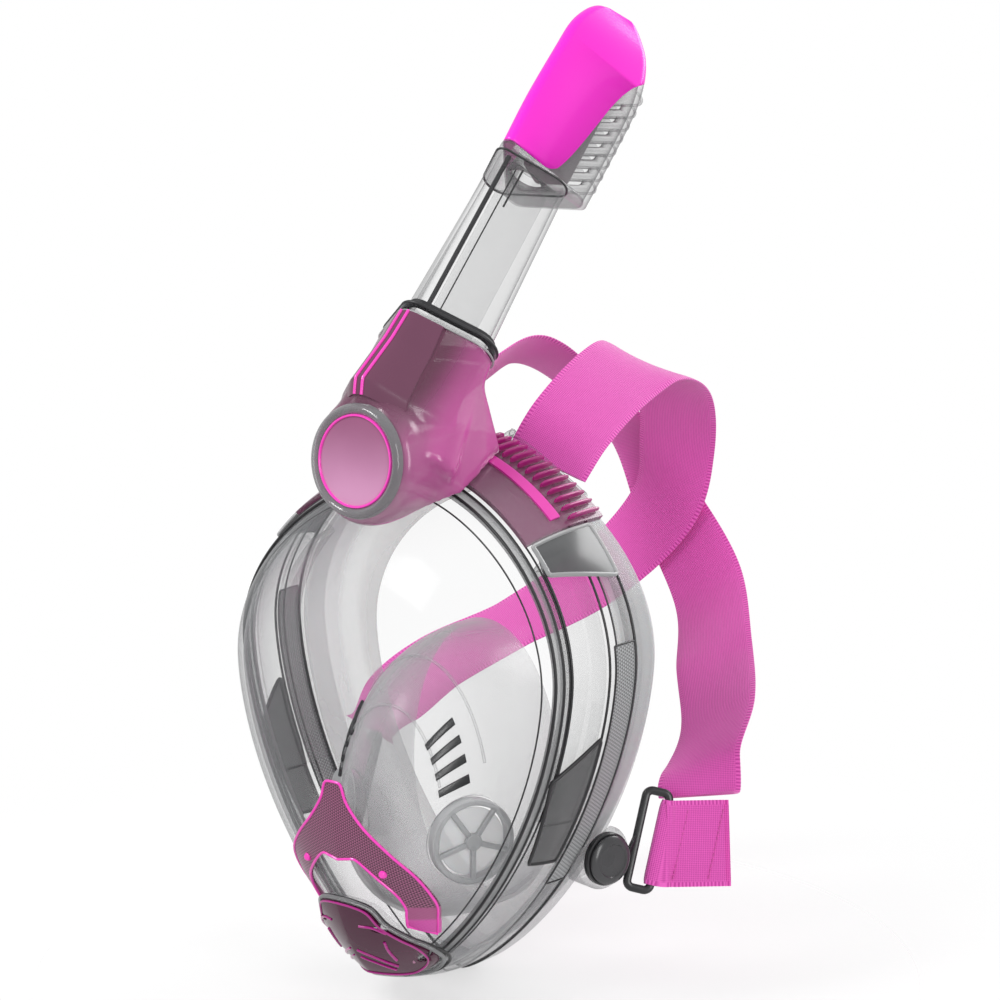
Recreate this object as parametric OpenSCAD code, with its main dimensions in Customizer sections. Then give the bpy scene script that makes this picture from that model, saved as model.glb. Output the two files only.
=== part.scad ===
// Full face snorkel: visor mask, two-channel snorkel with float valve, X harness.
// +Z is up, the visor faces -Y, the face comes in from +Y. Units are millimetres.
// The origin is the middle of the mask's rear frame plane.

/* [Mask] */
// Half width of the mask at eye level
mask_half_w = 100; // [92:1:108]
// Height of the crown above the origin
crown_z = 128; // [120:1:136]
// Height of the widest point
wide_z = 35; // [25:1:45]
// Depth of the chin below the origin
chin_z = 128; // [120:1:136]
// Depth of the visor in front of the rear frame plane
visor_d = 105; // [98:1:112]
// Thickness of the visor
visor_t = 2.4; // [2:0.1:3]
// Thickness of the clear frame wall
frame_t = 2.2; // [1.8:0.1:3]

/* [Snorkel] */
// Lean of the snorkel back from vertical
snorkel_lean = 43.5; // [40:0.5:50]
// Width of the snorkel tube
tube_w = 54; // [48:1:58]
// Width the tube loses on its way up to the dry top
tube_taper = 8; // [4:1:10]
// Length of tube that shows between the socket and the dry top
tube_len = 98; // [80:1:140]
// Length of tube inside the socket
tube_insert = 38; // [36:1:44]
// Travel of the tube when it is pulled out of the socket
pull_out = 30; // [10:1:34]
// Wall thickness of the tube
tube_t = 2; // [1.6:0.1:2.6]
// Height of the dry top
drytop_h = 101; // [90:1:120]
// Diameter of the badge ring on the socket
badge_dia = 50; // [40:1:54]

/* [Harness] */
// Width of the webbing
web_w = 40; // [34:1:42]
// Thickness of the webbing
web_t = 1.8; // [1.4:0.1:2.2]
// Outer diameter of the lower swivel bosses
boss_dia = 30; // [26:1:32]

/* [Valves] */
// Outer diameter of an inhale valve seat
inhale_dia = 40; // [34:1:42]
// Lift of the valve flaps
flap_lift = 1.5; // [1:0.1:2]

/* [Hidden] */

eps = 0.01;
gap = 0.35;          // clearance between shells that lie on each other
pole_z = 5;          // height of the visor's most forward point
pole_f = 86;         // last surface angle before the flat front of the visor
shell_scale_h = 120; // height over which an inset is taken
seal_k = 0.03;       // half width of the rim seal, as a share of the side wall

// ---------- the mask's surface ----------
// p runs round the mask from the wearer's +X side towards the crown.
// k runs from the rear plane (0) over the side wall to the visor's rim (1) and its front (2).
// t is the inset from the outer surface.
function spow(v, e) = sign(v) * pow(abs(v), e);
function rim_x(p) = mask_half_w * spow(cos(p), sin(p) >= 0 ? 1.25 : 1.5);
function rim_z(p) = sin(p) >= 0
    ? wide_z + (crown_z - wide_z) * sin(p)
    : wide_z - (wide_z + chin_z) * pow(-sin(p), 1.18);
function rim_f(p) = 25 + 2 * pow(cos(p), 2);
function band_f(p, k) = k <= 1 ? k * rim_f(p) : rim_f(p) + (pole_f - rim_f(p)) * (k - 1);
function shell_at(p, f, t) =
    let (e = 2 / (2.8 - 0.7 * pow(max(0, sin(p)), 2)), r = pow(cos(f), e))
    [rim_x(p) * (1 - t / mask_half_w) * r,
     -(visor_d - t) * pow(sin(f), e),
     pole_z + (rim_z(p) - pole_z) * (1 - t / shell_scale_h) * r];
function skin(p, k, t) = shell_at(p, band_f(p, k), t);
function ring_at(p, t, y) =
    [rim_x(p) * (1 - t / mask_half_w), y, pole_z + (rim_z(p) - pole_z) * (1 - t / shell_scale_h)];

// ---------- solids from grids of points ----------
function flat(rows) = [for (row = rows) each row];
// A closed wall between an outer and an inner grid. loop joins the last column to the first,
// cap closes the last row with flat ends in place of an edge.
module wall(outer, inner, loop = false, cap = false) {
    rows = len(outer);
    cols = len(outer[0]);
    last = loop ? cols : cols - 1;
    total = rows * cols;
    function o(j, i) = j * cols + i % cols;
    function n(j, i) = total + o(j, i);
    skins = [for (j = [0:rows - 2]) for (i = [0:last - 1]) each [
        [o(j, i), o(j + 1, i), o(j + 1, i + 1), o(j, i + 1)],
        [n(j, i), n(j, i + 1), n(j + 1, i + 1), n(j + 1, i)]]];
    j1 = rows - 1;
    low = [for (i = [0:last - 1]) [o(0, i), o(0, i + 1), n(0, i + 1), n(0, i)]];
    high = cap
        ? [[for (i = [cols - 1:-1:0]) o(j1, i)], [for (i = [0:cols - 1]) n(j1, i)]]
        : [for (i = [0:last - 1]) [o(j1, i + 1), o(j1, i), n(j1, i), n(j1, i + 1)]];
    sides = loop ? [] : [for (j = [0:rows - 2]) each [
        [o(j + 1, 0), o(j, 0), n(j, 0), n(j + 1, 0)],
        [o(j, last), o(j + 1, last), n(j + 1, last), n(j, last)]]];
    polyhedron(concat(flat(outer), flat(inner)), concat(skins, low, high, sides), convexity = 8);
}
// A solid through closed sections, each counter-clockwise seen from the far end.
module loft(rows) {
    cols = len(rows[0]);
    top = (len(rows) - 1) * cols;
    function o(j, i) = j * cols + i % cols;
    polyhedron(flat(rows), concat(
        [for (j = [0:len(rows) - 2]) for (i = [0:cols - 1])
            [o(j, i), o(j + 1, i), o(j + 1, i + 1), o(j, i + 1)]],
        [[for (i = [0:cols - 1]) i]],
        [[for (i = [cols - 1:-1:0]) top + i]]), convexity = 6);
}
// Part of the mask's wall.
module patch(p0, p1, k0, k1, t0, t1, np = 12, nk = 3) {
    whole = p1 - p0 >= 360;
    function grid(t) = [for (j = [0:nk]) [for (i = [0:whole ? np - 1 : np])
        skin(p0 + (p1 - p0) * i / np, k0 + (k1 - k0) * j / nk, t)]];
    wall(grid(t0), grid(t1), whole, k1 == 2);
}
// A closed profile of [inset, y] points swept round the mask.
module ring_sweep(profile, np = 60) {
    rows = [for (i = [0:np - 1]) [for (q = profile) ring_at(i * 360 / np, q[0], q[1])]];
    cols = len(profile);
    function o(j, i) = (j % np) * cols + i % cols;
    polyhedron(flat(rows), [for (j = [0:np - 1]) for (i = [0:cols - 1])
        [o(j, i), o(j + 1, i), o(j + 1, i + 1), o(j, i + 1)]], convexity = 6);
}
module both_sides() { children(); mirror([1, 0, 0]) children(); }
module on_side(side) { if (side > 0) children(); else mirror([1, 0, 0]) children(); }

// ---------- mask ----------
module visor_lens() color([0.9, 0.93, 0.95, 0.35]) patch(0, 360, 1 + seal_k, 2, 0, visor_t, 60, 9);
module visor_rim_seal() color("dimgray")
    patch(0, 360, 1 - seal_k, 1 + seal_k, -0.8, visor_t + 0.8, 60, 1);
module main_frame() color([0.85, 0.88, 0.9, 0.35])
    patch(0, 360, 0.12, 1 - seal_k, 0, frame_t, 60, 4);
module rear_frame_ring() color([0.8, 0.83, 0.86, 0.5])
    patch(0, 360, 0, 0.12, -1, frame_t + 3, 60, 1);

skirt_in = frame_t + 3.2;
lip = 14;             // reach of the skirt's soft lip towards the face
module face_skirt() color([0.75, 0.77, 0.79, 0.6])
    ring_sweep([[skirt_in, -16], [skirt_in, 4], [skirt_in + 1, 12], [skirt_in + 7, 17],
        [skirt_in + lip, 15.6], [skirt_in + lip, 14], [skirt_in + 7.5, 15], [skirt_in + 3, 11],
        [skirt_in + 2.2, 4], [skirt_in + 2.2, -16]]);

// ---------- crown ----------
crown_p = 41;        // the crown band ends this far round from the side
crown_out = 3;       // height of the crown band over the mask
rib_count = 13;      // ribs on each side of the crown
rib_p0 = 42;
rib_p1 = 76;
module crown_band() color([0.6, 0.1, 0.45, 0.7]) difference() {
    patch(crown_p, 180 - crown_p, 0.125, 0.9, -crown_out, -gap, 18, 4);
    snorkel_channel();
}
module crown_ribs() color([0.75, 0.1, 0.5, 0.8]) both_sides() difference() {
    for (i = [0:rib_count - 1]) let (p = rib_p0 + (rib_p1 - rib_p0) * i / (rib_count - 1))
        patch(p, p + 1.3, 0.14, 0.42, -crown_out - 3.6, -crown_out - 0.2, 1, 3);
    fairing(0.5);
}

// ---------- snorkel sections ----------
lean_pos = [0, -31, 174];   // the tube's axis at the top of the socket
ridge_y = -23;              // the tube's front ridge
back_y = 10;                // the tube's flat back
ridge_r = 5;
corner_r = 8;
// A rounded triangle with its ridge to -Y, counter-clockwise: width w, ridge at y0, back at y1,
// at height z, grown outwards by g.
function arc(c, r, a0, a1, n) = [for (i = [0:n]) c + r * [cos(a0 + (a1 - a0) * i / n),
    sin(a0 + (a1 - a0) * i / n)]];
function section(w, y0, y1, z, g = 0, rr = ridge_r, rc = corner_r) =
    let (c = [w / 2 - rc, y1 - rc], f = [0, y0 + rr], d = c - f,
         a = atan2(d[1], d[0]) - acos((rr - rc) / norm(d)))
    [for (q = concat(arc(f, rr + g, -180 - a, a, 4), arc(c, rc + g, a, 90, 5),
        arc([-c[0], c[1]], rc + g, 90, 180 - a, 5))) [q[0], q[1], z]];
function bore_section(z, g = 0) = section(tube_w, ridge_y, back_y, z, g);
function tube_section(z, g = 0) =
    section(tube_w - tube_taper * max(0, z) / tube_len, ridge_y, back_y, z, g);
module shell_loft(outer, inner) wall(outer, inner, true);
module at_snorkel() translate(lean_pos) rotate([-snorkel_lean, 0, 0]) children();
// The whole mask as one solid, inset by t.
solid_k = [0, 0.12, 0.33, 0.54, 0.76, 0.97, 1.03, 1.14, 1.25, 1.35, 1.46, 1.57, 1.68, 1.78, 1.89, 2];
module mask_solid(t) loft([for (k = solid_k) [for (i = [0:59]) skin(i * 6, k, t)]]);

// ---------- socket ----------
socket_g = 4.2;            // the socket's wall and clearance outside the tube
bore_g = 0.35;             // clearance round the tube
badge_pos = [0, -87.5, 127.5]; // middle of the badge's face
badge_tilt = 5;            // the badge looks up by this much
badge_back = 1;            // the badge's parts start this far behind its face
bulb_r = badge_dia / 2 + 4.5;
bulb_d = 34;
module at_badge() translate(badge_pos) rotate([90 - badge_tilt, 0, 0]) children();
module snorkel_channel() at_snorkel() union() {
    loft([bore_section(-tube_insert - 1, bore_g), bore_section(30, bore_g)]);
    translate([0, 0, -tube_insert - 30]) cylinder(r = 9, h = 40, $fn = 32);
}
module bulb() at_badge() rotate_extrude($fn = 40) polygon([[0, -bulb_d], [bulb_r - 8, -bulb_d],
    [bulb_r, -bulb_d + 10], [bulb_r, -7], [bulb_r - 1.5, -3], [bulb_r - 3.5, -badge_back],
    [0, -badge_back]]);
// The flare that carries the socket's back down to the crown
module fairing(g = 0) hull() {
    at_snorkel() loft([bore_section(-30, socket_g + g), bore_section(-12, socket_g + g)]);
    translate([0, -46, 113]) rotate([0, 90, 0]) cylinder(r = 9 + g, h = 66 + 2 * g, center = true, $fn = 32);
    translate([0, -22, 117]) rotate([0, 90, 0]) cylinder(r = 8 + g, h = 56 + 2 * g, center = true, $fn = 32);
    translate([0, -70, 109]) rotate([0, 90, 0]) cylinder(r = 7 + g, h = 34 + 2 * g, center = true, $fn = 32);
}
module snorkel_socket() color([0.5, 0.28, 0.42, 0.8]) difference() {
    union() {
        bulb();
        fairing();
        at_snorkel() loft([
            section(tube_w + 14, ridge_y + 8, back_y + 6, -62, socket_g),
            section(tube_w + 9, ridge_y - 5, back_y + 3, -44, socket_g),
            section(tube_w + 2, ridge_y - 1, back_y + 1, -18, socket_g),
            bore_section(0, socket_g)]);
    }
    mask_solid(-crown_out - 1);
    snorkel_channel();
    at_badge() translate([0, 0, -badge_back - eps]) cylinder(r = badge_dia / 2 + 1.6, h = 14, $fn = 64);
}
module collar_rim() color([0.85, 0.88, 0.9, 0.5]) at_snorkel() shell_loft(
    [bore_section(0, socket_g), bore_section(3, socket_g)],
    [bore_section(0, bore_g + 0.25), bore_section(3, bore_g + 0.25)]);
module socket_seal() color("dimgray") at_snorkel() shell_loft(
    [bore_section(3, socket_g - 0.6), bore_section(4.6, socket_g - 1)],
    [bore_section(3, bore_g), bore_section(4.6, bore_g)]);
tab_y = back_y + socket_g + 1;
module release_tab() color("dimgray") at_snorkel() union() {
    translate([-6, tab_y, -9]) cube([12, 2.6, 11]);
    translate([-6, tab_y + 1.3, -9]) rotate([0, 90, 0]) cylinder(r = 1.3, h = 12, $fn = 32);
}
module badge_ring() color([0.8, 0.82, 0.85, 0.7]) at_badge() rotate_extrude($fn = 64)
    polygon([[badge_dia / 2 - 4, -badge_back], [badge_dia / 2 - 4, 1], [badge_dia / 2 - 2, 2.6],
        [badge_dia / 2, 1.6], [badge_dia / 2 + 1, -badge_back]]);
module badge_disc() color([0.7, 0.4, 0.6, 0.8]) at_badge()
    translate([0, 0, -badge_back]) cylinder(d = badge_dia - 8, h = 2, $fn = 64);

// ---------- side parts ----------
duct_k0 = 0.4;
duct_k1 = 0.86;
duct_h = 11;
duct_gap = 0.8;
module duct() difference() {
    patch(-30, 36, duct_k0, duct_k1, frame_t + duct_gap, frame_t + duct_h, 11, 3);
    patch(-28.5, 34.5, duct_k0 + 0.07, duct_k1 - 0.07, frame_t - 1, frame_t + duct_h - 1.6, 11, 2);
}
module side_duct(side) color([0.55, 0.56, 0.57, 0.6]) on_side(side) duct();
module side_trim(side) color([0.6, 0.6, 0.6, 0.6]) on_side(side)
    patch(-42, 6, 0.13, 0.34, -1, -0.2, 16, 2);
// A four-cornered patch: its corners are [p, k] pairs, counter-clockwise.
module quad_patch(a, b, c, d, t0, t1, n = 6) {
    function mix(u, v) = (a * (1 - u) + b * u) * (1 - v) + (d * (1 - u) + c * u) * v;
    function grid(t) = [for (j = [0:n]) [for (i = [0:n])
        let (q = mix(i / n, j / n)) skin(q[0], q[1], t)]];
    wall(grid(t0), grid(t1));
}
module duct_window(side) color([0.35, 0.35, 0.36, 0.7]) on_side(side)
    quad_patch([-38, 0.42], [-14, 0.42], [-21, 0.93], [-38, 0.78], -1.6, 0);
module duct_block(side) color([0.3, 0.3, 0.31, 0.85]) on_side(side)
    quad_patch([25, 0.14], [crown_p - 1, 0.14], [crown_p - 1, 0.84], [31, 0.84], -2.2, 0);

// ---------- nose and mouth cup ----------
cup_w = 45;
cup_top = 40;
cup_bottom = -100;
cup_mid = -36;
cup_front = 86;
cup_t = 1.6;
cup_n = 2.5;
function cup_at(p, f, t) =
    let (r = pow(cos(f), 2 / cup_n),
         z = cup_mid + (sin(p) >= 0 ? cup_top - cup_mid - t : cup_mid - cup_bottom - t) * sin(p),
         pole = cup_mid - 12)
    [(cup_w - t) * cos(p) * r, 6 - (cup_front - t) * pow(sin(f), 2 / cup_n), pole + (z - pole) * r];
function cup_grid(t) = [for (j = [0:7]) [for (i = [0:31]) cup_at(i * 11.25, j * 84 / 7, t)]];
valve_pos = [39.5, -55, -48];
module at_valve(side) translate([side * valve_pos[0], valve_pos[1], valve_pos[2]])
    rotate([0, 90, side > 0 ? -30 : 210]) children();
module oronasal_cup() color([0.85, 0.86, 0.88, 0.5]) difference() {
    wall(cup_grid(0), cup_grid(cup_t), true, true);
    for (side = [-1, 1]) at_valve(side) translate([0, 0, -14]) cylinder(d = inhale_dia + 0.6, h = 24, $fn = 48);
}
module valve_seat(side) color([0.6, 0.62, 0.64, 0.8]) at_valve(side) {
    difference() {
        translate([0, 0, -4]) cylinder(d = inhale_dia, h = 6, $fn = 64);
        translate([0, 0, -5]) cylinder(d = inhale_dia - 6, h = 8, $fn = 64);
    }
    cylinder(r = 4, h = 2, $fn = 32);
    for (i = [0:4]) rotate([0, 0, i * 72]) translate([3.5, -1.2, 0]) cube([inhale_dia / 2 - 5, 2.4, 2]);
}
module inhale_flap(side) color([0.9, 0.9, 0.92, 0.6]) at_valve(side)
    translate([0, 0, -1.4]) cylinder(d = inhale_dia - 8, h = 0.9, $fn = 64);
// Bars of a vent on the cup's upper cheeks
module cheek_louvres() color([0.3, 0.3, 0.31]) for (side = [-1, 1]) on_side(side)
    for (i = [0:3]) let (p = 15 + i * 9) wall(
        [for (j = [0:3]) [for (q = [p, p + 4]) cup_at(q, 38 + j * 5, -1.6)]],
        [for (j = [0:3]) [for (q = [p, p + 4]) cup_at(q, 38 + j * 5, 0)]]);

// ---------- chin and trim ----------
trim_half = [[0, -15], [5, -16], [8, -24], [15, -34], [36, -56], [39, -68], [32, -88], [28, -91],
    [23, -83], [27, -72], [23, -64], [9, -50], [0, -52]];
cover_half = [[0, -70], [15, -74], [19, -83], [29, -93], [29, -103], [17, -114], [0, -113]];
function mirrored(half) = concat(half, [for (i = [len(half) - 2:-1:1]) [-half[i][0], half[i][1]]]);
front_y = -66;        // the front trim starts this far forward
module front_cut(half) translate([0, front_y, 0]) rotate([90, 0, 0]) linear_extrude(visor_d) polygon(mirrored(half));
module front_skin(t0, t1) difference() { mask_solid(t0); mask_solid(t1); }
module nose_trim() color([0.85, 0.25, 0.6, 0.8]) intersection() {
    front_skin(-1.9, -gap);
    front_cut(trim_half);
}
peg_x = 22;
module trim_pegs() color("hotpink") for (x = [-1, 1])
    translate([x * peg_x, -visor_d + 6, -56]) rotate([90, 0, 0]) cylinder(r = 2, h = 4.5, $fn = 24);
module chin_cover() color([0.4, 0.1, 0.3, 0.85]) difference() {
    intersection() {
        front_skin(-7.2, -4.5);
        front_cut(cover_half);
    }
    at_drain() cylinder(r = drain_r + 1, h = 0.8 + flap_lift + 0.4, $fn = 48);
}
module chin_housing() color([0.8, 0.82, 0.84, 0.5]) intersection() {
    front_skin(-4.4, -gap);
    difference() {
        front_cut(cover_half);
        translate([0, -60, -95]) rotate([90, 0, 0]) cylinder(r = drain_bore_r, h = 60, $fn = 48);
    }
}
drain_pos = [0, -87.1, -93.6];  // middle of the drain valve, over the visor's surface
drain_tilt = 34;
module at_drain() translate(drain_pos) rotate([90 + drain_tilt, 0, 0]) children();
drain_r = 9;
drain_bore_r = 13;              // bore through the housing round the drain valve
module chin_flap() color([0.9, 0.9, 0.92, 0.7]) at_drain() cylinder(r = drain_r, h = 0.8, $fn = 48);

// ---------- lower strap swivels and buckles, on the +X side; the other side is mirrored ----------
boss_pos = [66, 0, -62];
boss_turn = -15;      // the swivel's axis turns forwards from +X by this much
post_r = 8;
ring_r = 12.5;
boss_top = 10.1;
ring_z = [10.5, 13.9];
cap_z = [14.2, 17.2];
module at_boss() translate(boss_pos) rotate([0, 90, boss_turn]) children();
// The space inside the mask's outline behind its frame plane
module behind_mask() loft([for (y = [24, -1]) [for (i = [0:47]) ring_at(i * 7.5, -1.5, y)]]);
module swivel_boss(side) color([0.8, 0.82, 0.84, 0.6]) on_side(side) {
    difference() {
        at_boss() translate([0, 0, -8]) cylinder(d = boss_dia, h = boss_top + 8, $fn = 64);
        mask_solid(-1.5);
        behind_mask();
    }
    at_boss() translate([0, 0, boss_top - 0.1]) cylinder(r = post_r, h = cap_z[0] - boss_top + 0.1, $fn = 64);
}
module hub_cap(side) color([0.25, 0.25, 0.26]) on_side(side) at_boss() rotate_extrude($fn = 64)
    polygon([[0, cap_z[0]], [ring_r - 1, cap_z[0]], [ring_r - 1, cap_z[0] + 1.4],
        [ring_r - 4, cap_z[1]], [ring_r - 5, cap_z[1] - 0.8], [0, cap_z[1] - 0.4]]);

buckle_pos = [86, 19, -57];
buckle_tilt = -22;    // its long side leans back
buckle_turn = 35;     // its short side turns back from +X
bar = 4;
buckle_l = web_w + 2 * bar + 2;
buckle_w = 15;
buckle_t = 5;
module at_buckle() translate(buckle_pos) rotate([buckle_tilt, 0, 0]) rotate([0, 0, buckle_turn])
    children();
module buckle(side) color([0.1, 0.1, 0.1]) on_side(side) {
    difference() {
        union() {
            at_boss() translate([0, 0, ring_z[0]]) cylinder(r = ring_r, h = ring_z[1] - ring_z[0], $fn = 64);
            hull() {
                at_boss() translate([1, 13.5, ring_z[0] + 0.3]) cylinder(r = 3, h = 2.6, $fn = 32);
                at_buckle() translate([-buckle_w / 2 + 1, 0, -6]) cube([2, 3, 18], center = true);
            }
        }
        at_boss() translate([0, 0, ring_z[0] - 1]) cylinder(r = post_r + 0.06, h = 6, $fn = 64);
        at_boss() translate([0, 0, -8]) cylinder(d = boss_dia + 0.8, h = boss_top + 8.2, $fn = 64);
    }
    at_buckle() difference() {
        cube([buckle_w, buckle_t, buckle_l], center = true);
        translate([1, 0, 0]) cube([buckle_w - 2 * bar, buckle_t + 2, web_w + 2], center = true);
    }
}
tail_len = 30;
tail_rise = 0.25;     // the tail leans up by this much of its length
module strap_tail(side) color("hotpink") on_side(side) at_buckle()
    multmatrix([[1, 0, 0, buckle_w / 2 + 0.3], [0, 1, 0, -2.2], [tail_rise, 0, 1, -web_w / 2 - 1], [0, 0, 0, 1]])
    cube([tail_len, 4.4, web_w]);

// ---------- harness ----------
// Each row is a point on the strap's middle line and the way its width runs there.
cross_z = 72;         // height at which the straps cross
strap_path = [
    [[34, 9.5, 117], [0.80, 0.10, -0.56]],
    [[36, 26, 134], [0.76, 0.44, -0.48]],
    [[36, 58, 151], [0.68, 0.60, -0.42]],
    [[34, 88, 156], [0.66, 0.64, -0.40]],
    [[29, 122, 140], [0.74, 0.56, -0.36]],
    [[15, 148, 108], [0.80, 0.42, -0.42]],
    [[0, 158, cross_z], [0.85, 0.00, -0.53]],
    [[-32, 147, 35], [0.66, -0.40, -0.64]],
    [[-62, 112, 10], [0.50, -0.70, -0.50]],
    [[-86, 78, -8], [0.55, -0.60, -0.58]],
    [[-95, 51, -25], [0.40, -0.66, -0.64]],
    [[-100, 40, -38], [0.30, -0.60, -0.70]]
];
function spline(a, b, c, d, u) = 0.5 * (2 * b + (c - a) * u
    + (2 * a - 5 * b + 4 * c - d) * u * u + (3 * b - a - 3 * c + d) * u * u * u);
function along(path, u) = let (n = len(path) - 1, i = min(floor(u), n - 1))
    spline(path[max(i - 1, 0)], path[i], path[i + 1], path[min(i + 2, n)], u - i);
function unit(v) = v / norm(v);
module ribbon(path, steps = 4) {
    pos = [for (q = path) q[0]];
    dir = [for (q = path) q[1]];
    last = len(path) - 1;
    loft([for (i = [0:last * steps]) let (u = i / steps, c = along(pos, u),
        run = unit(along(pos, min(u + 0.05, last)) - along(pos, max(u - 0.05, 0))),
        w = unit(along(dir, u) - run * (run * along(dir, u))), n = cross(run, w))
        [for (q = [[1, 1], [-1, 1], [-1, -1], [1, -1]])
            c + w * q[0] * web_w / 2 + n * q[1] * web_t / 2]]);
}
cross_gap = 5;        // strap_b passes outside strap_a by this much where they cross
function lifted(i) = [0, i > 4 && i < 8 ? cross_gap : 0, 0];
module strap_a() color("hotpink") ribbon(strap_path);
module strap_b() color("hotpink") mirror([1, 0, 0])
    ribbon([for (i = [0:len(strap_path) - 1]) [strap_path[i][0] + lifted(i), strap_path[i][1]]]);
module cross_patch() color("deeppink") translate([0, 158 + cross_gap / 2 - 0.4, cross_z])
    cube([10, 1, 10], center = true);

// ---------- snorkel ----------
module snorkel_tube() color([0.93, 0.95, 0.96, 0.35]) at_snorkel() shell_loft(
    [for (z = [-tube_insert, 0, tube_len]) tube_section(z)],
    [for (z = [-tube_insert, 0, tube_len]) tube_section(z, -tube_t)]);
divider_y = 3;
divider_w = 31;
module tube_divider() color([0.3, 0.3, 0.3, 0.5]) at_snorkel()
    translate([-divider_w / 2, divider_y - 0.6, -tube_insert + 2])
    cube([divider_w, 1.2, tube_len + tube_insert - 6]);
module tube_stop() color("dimgray") at_snorkel() shell_loft(
    [tube_section(5.2, 2), tube_section(7.2, 1.4)], [tube_section(5.2, 0.2), tube_section(7.2, 0.2)]);
seat_h = 5;
vent_y = back_y + 16;
top_w = tube_w - tube_taper;
module drytop_seat() color([0.85, 0.88, 0.9, 0.5]) at_snorkel() difference() {
    loft([tube_section(tube_len, 0), section(top_w, ridge_y, vent_y - 1, tube_len + seat_h, 0, ridge_r, 9)]);
    translate([0, 1, tube_len - 1]) cylinder(d = 18, h = seat_h + 2, $fn = 48);
}
shell_g = 1.8;
// Each row of the dome: its height, its width as a share, and how far front and back draw in
dome_plan = [[0, 1, 0, 0], [30, 1.02, -1, 0], [62, 1, 0, 0], [80, 0.92, 1, 2], [92, 0.8, 5, 6],
    [100, 0.62, 10, 11], [104, 0.5, 15, 15]];
function dome_rows(g) = [for (q = dome_plan)
    section(top_w * q[1] - 2 * g, ridge_y + q[2] + g, vent_y - q[3] - g,
        tube_len + seat_h + q[0] * (drytop_h - g) / 106, 0, 4, 6)];
module dome(g) loft(dome_rows(g));
// The split between the cap and the clear chamber, seen from the side
cap_cut = [[-60, 1], [-4, 1], [2, 7], [8, 40], [12, 62], [22, 78], [60, 82], [60, 150], [-60, 150]];
module cap_side() translate([-50, 0, tube_len + seat_h]) rotate([90, 0, 90])
    linear_extrude(100) polygon(cap_cut);
module drytop_shell() difference() { dome(0); translate([0, 0, -eps]) dome(shell_g); }
module drytop_cap() color([1, 0.18, 0.88]) at_snorkel() intersection() { drytop_shell(); cap_side(); }
module drytop_chamber() color([0.9, 0.92, 0.94, 0.4]) at_snorkel() difference() {
    drytop_shell();
    cap_side();
    for (i = [0:6]) translate([-11, vent_y - 8, tube_len + seat_h + 14 + i * 8]) cube([22, 14, 3.4]);
}
module drytop_vents() color([0.6, 0.62, 0.64, 0.7]) at_snorkel() for (i = [0:5])
    translate([-12, vent_y - 6.4, tube_len + seat_h + 19 + i * 8]) cube([24, 2.2, 1.2]);
float_z = tube_len + seat_h + 8;
float_lift = 9;
float_y = 11;
module float() color([0.45, 0.4, 0.43]) at_snorkel() translate([0, float_y, float_z + 22])
    cube([20, 16, 44], center = true);
module float_seal() color([0.2, 0.2, 0.2]) at_snorkel() translate([0, float_y, float_z + 44])
    cylinder(d = 15.5, h = 2, $fn = 48);
// The seat above the float, which its seal closes when the float rises
module float_port() color([0.85, 0.88, 0.9, 0.6]) at_snorkel() difference() {
    translate([-10.5, 2.5, float_z + 46.3 + float_lift]) cube([21, 18, 2]);
    translate([0, float_y, float_z + 46 + float_lift]) cylinder(d = 12, h = 4, $fn = 48);
}

visor_lens();
visor_rim_seal();
main_frame();
rear_frame_ring();
face_skirt();
crown_band();
crown_ribs();
snorkel_socket();
collar_rim();
socket_seal();
release_tab();
badge_ring();
badge_disc();
side_duct(1);  // side_duct_left
side_duct(-1);  // side_duct_right
side_trim(1);  // side_trim_left
side_trim(-1);  // side_trim_right
duct_window(1);  // duct_window_left
duct_window(-1);  // duct_window_right
duct_block(1);  // duct_block_left
duct_block(-1);  // duct_block_right
oronasal_cup();
valve_seat(1);  // valve_seat_left
valve_seat(-1);  // valve_seat_right
inhale_flap(1);  // inhale_flap_left
inhale_flap(-1);  // inhale_flap_right
cheek_louvres();
nose_trim();
trim_pegs();
chin_housing();
chin_cover();
chin_flap();
swivel_boss(1);  // swivel_boss_left
swivel_boss(-1);  // swivel_boss_right
hub_cap(1);  // hub_cap_left
hub_cap(-1);  // hub_cap_right
buckle(1);  // buckle_left
buckle(-1);  // buckle_right
strap_tail(1);  // strap_tail_left
strap_tail(-1);  // strap_tail_right
strap_a();
strap_b();
cross_patch();
snorkel_tube();
tube_divider();
tube_stop();
drytop_seat();
drytop_chamber();
drytop_vents();
drytop_cap();
float();
float_seal();
float_port();
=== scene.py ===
"""Looks of the full face snorkel: its surfaces, webbing and finishes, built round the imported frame."""
import math

import bmesh
import bpy
import numpy as np
from mathutils import Matrix, Vector


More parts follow.
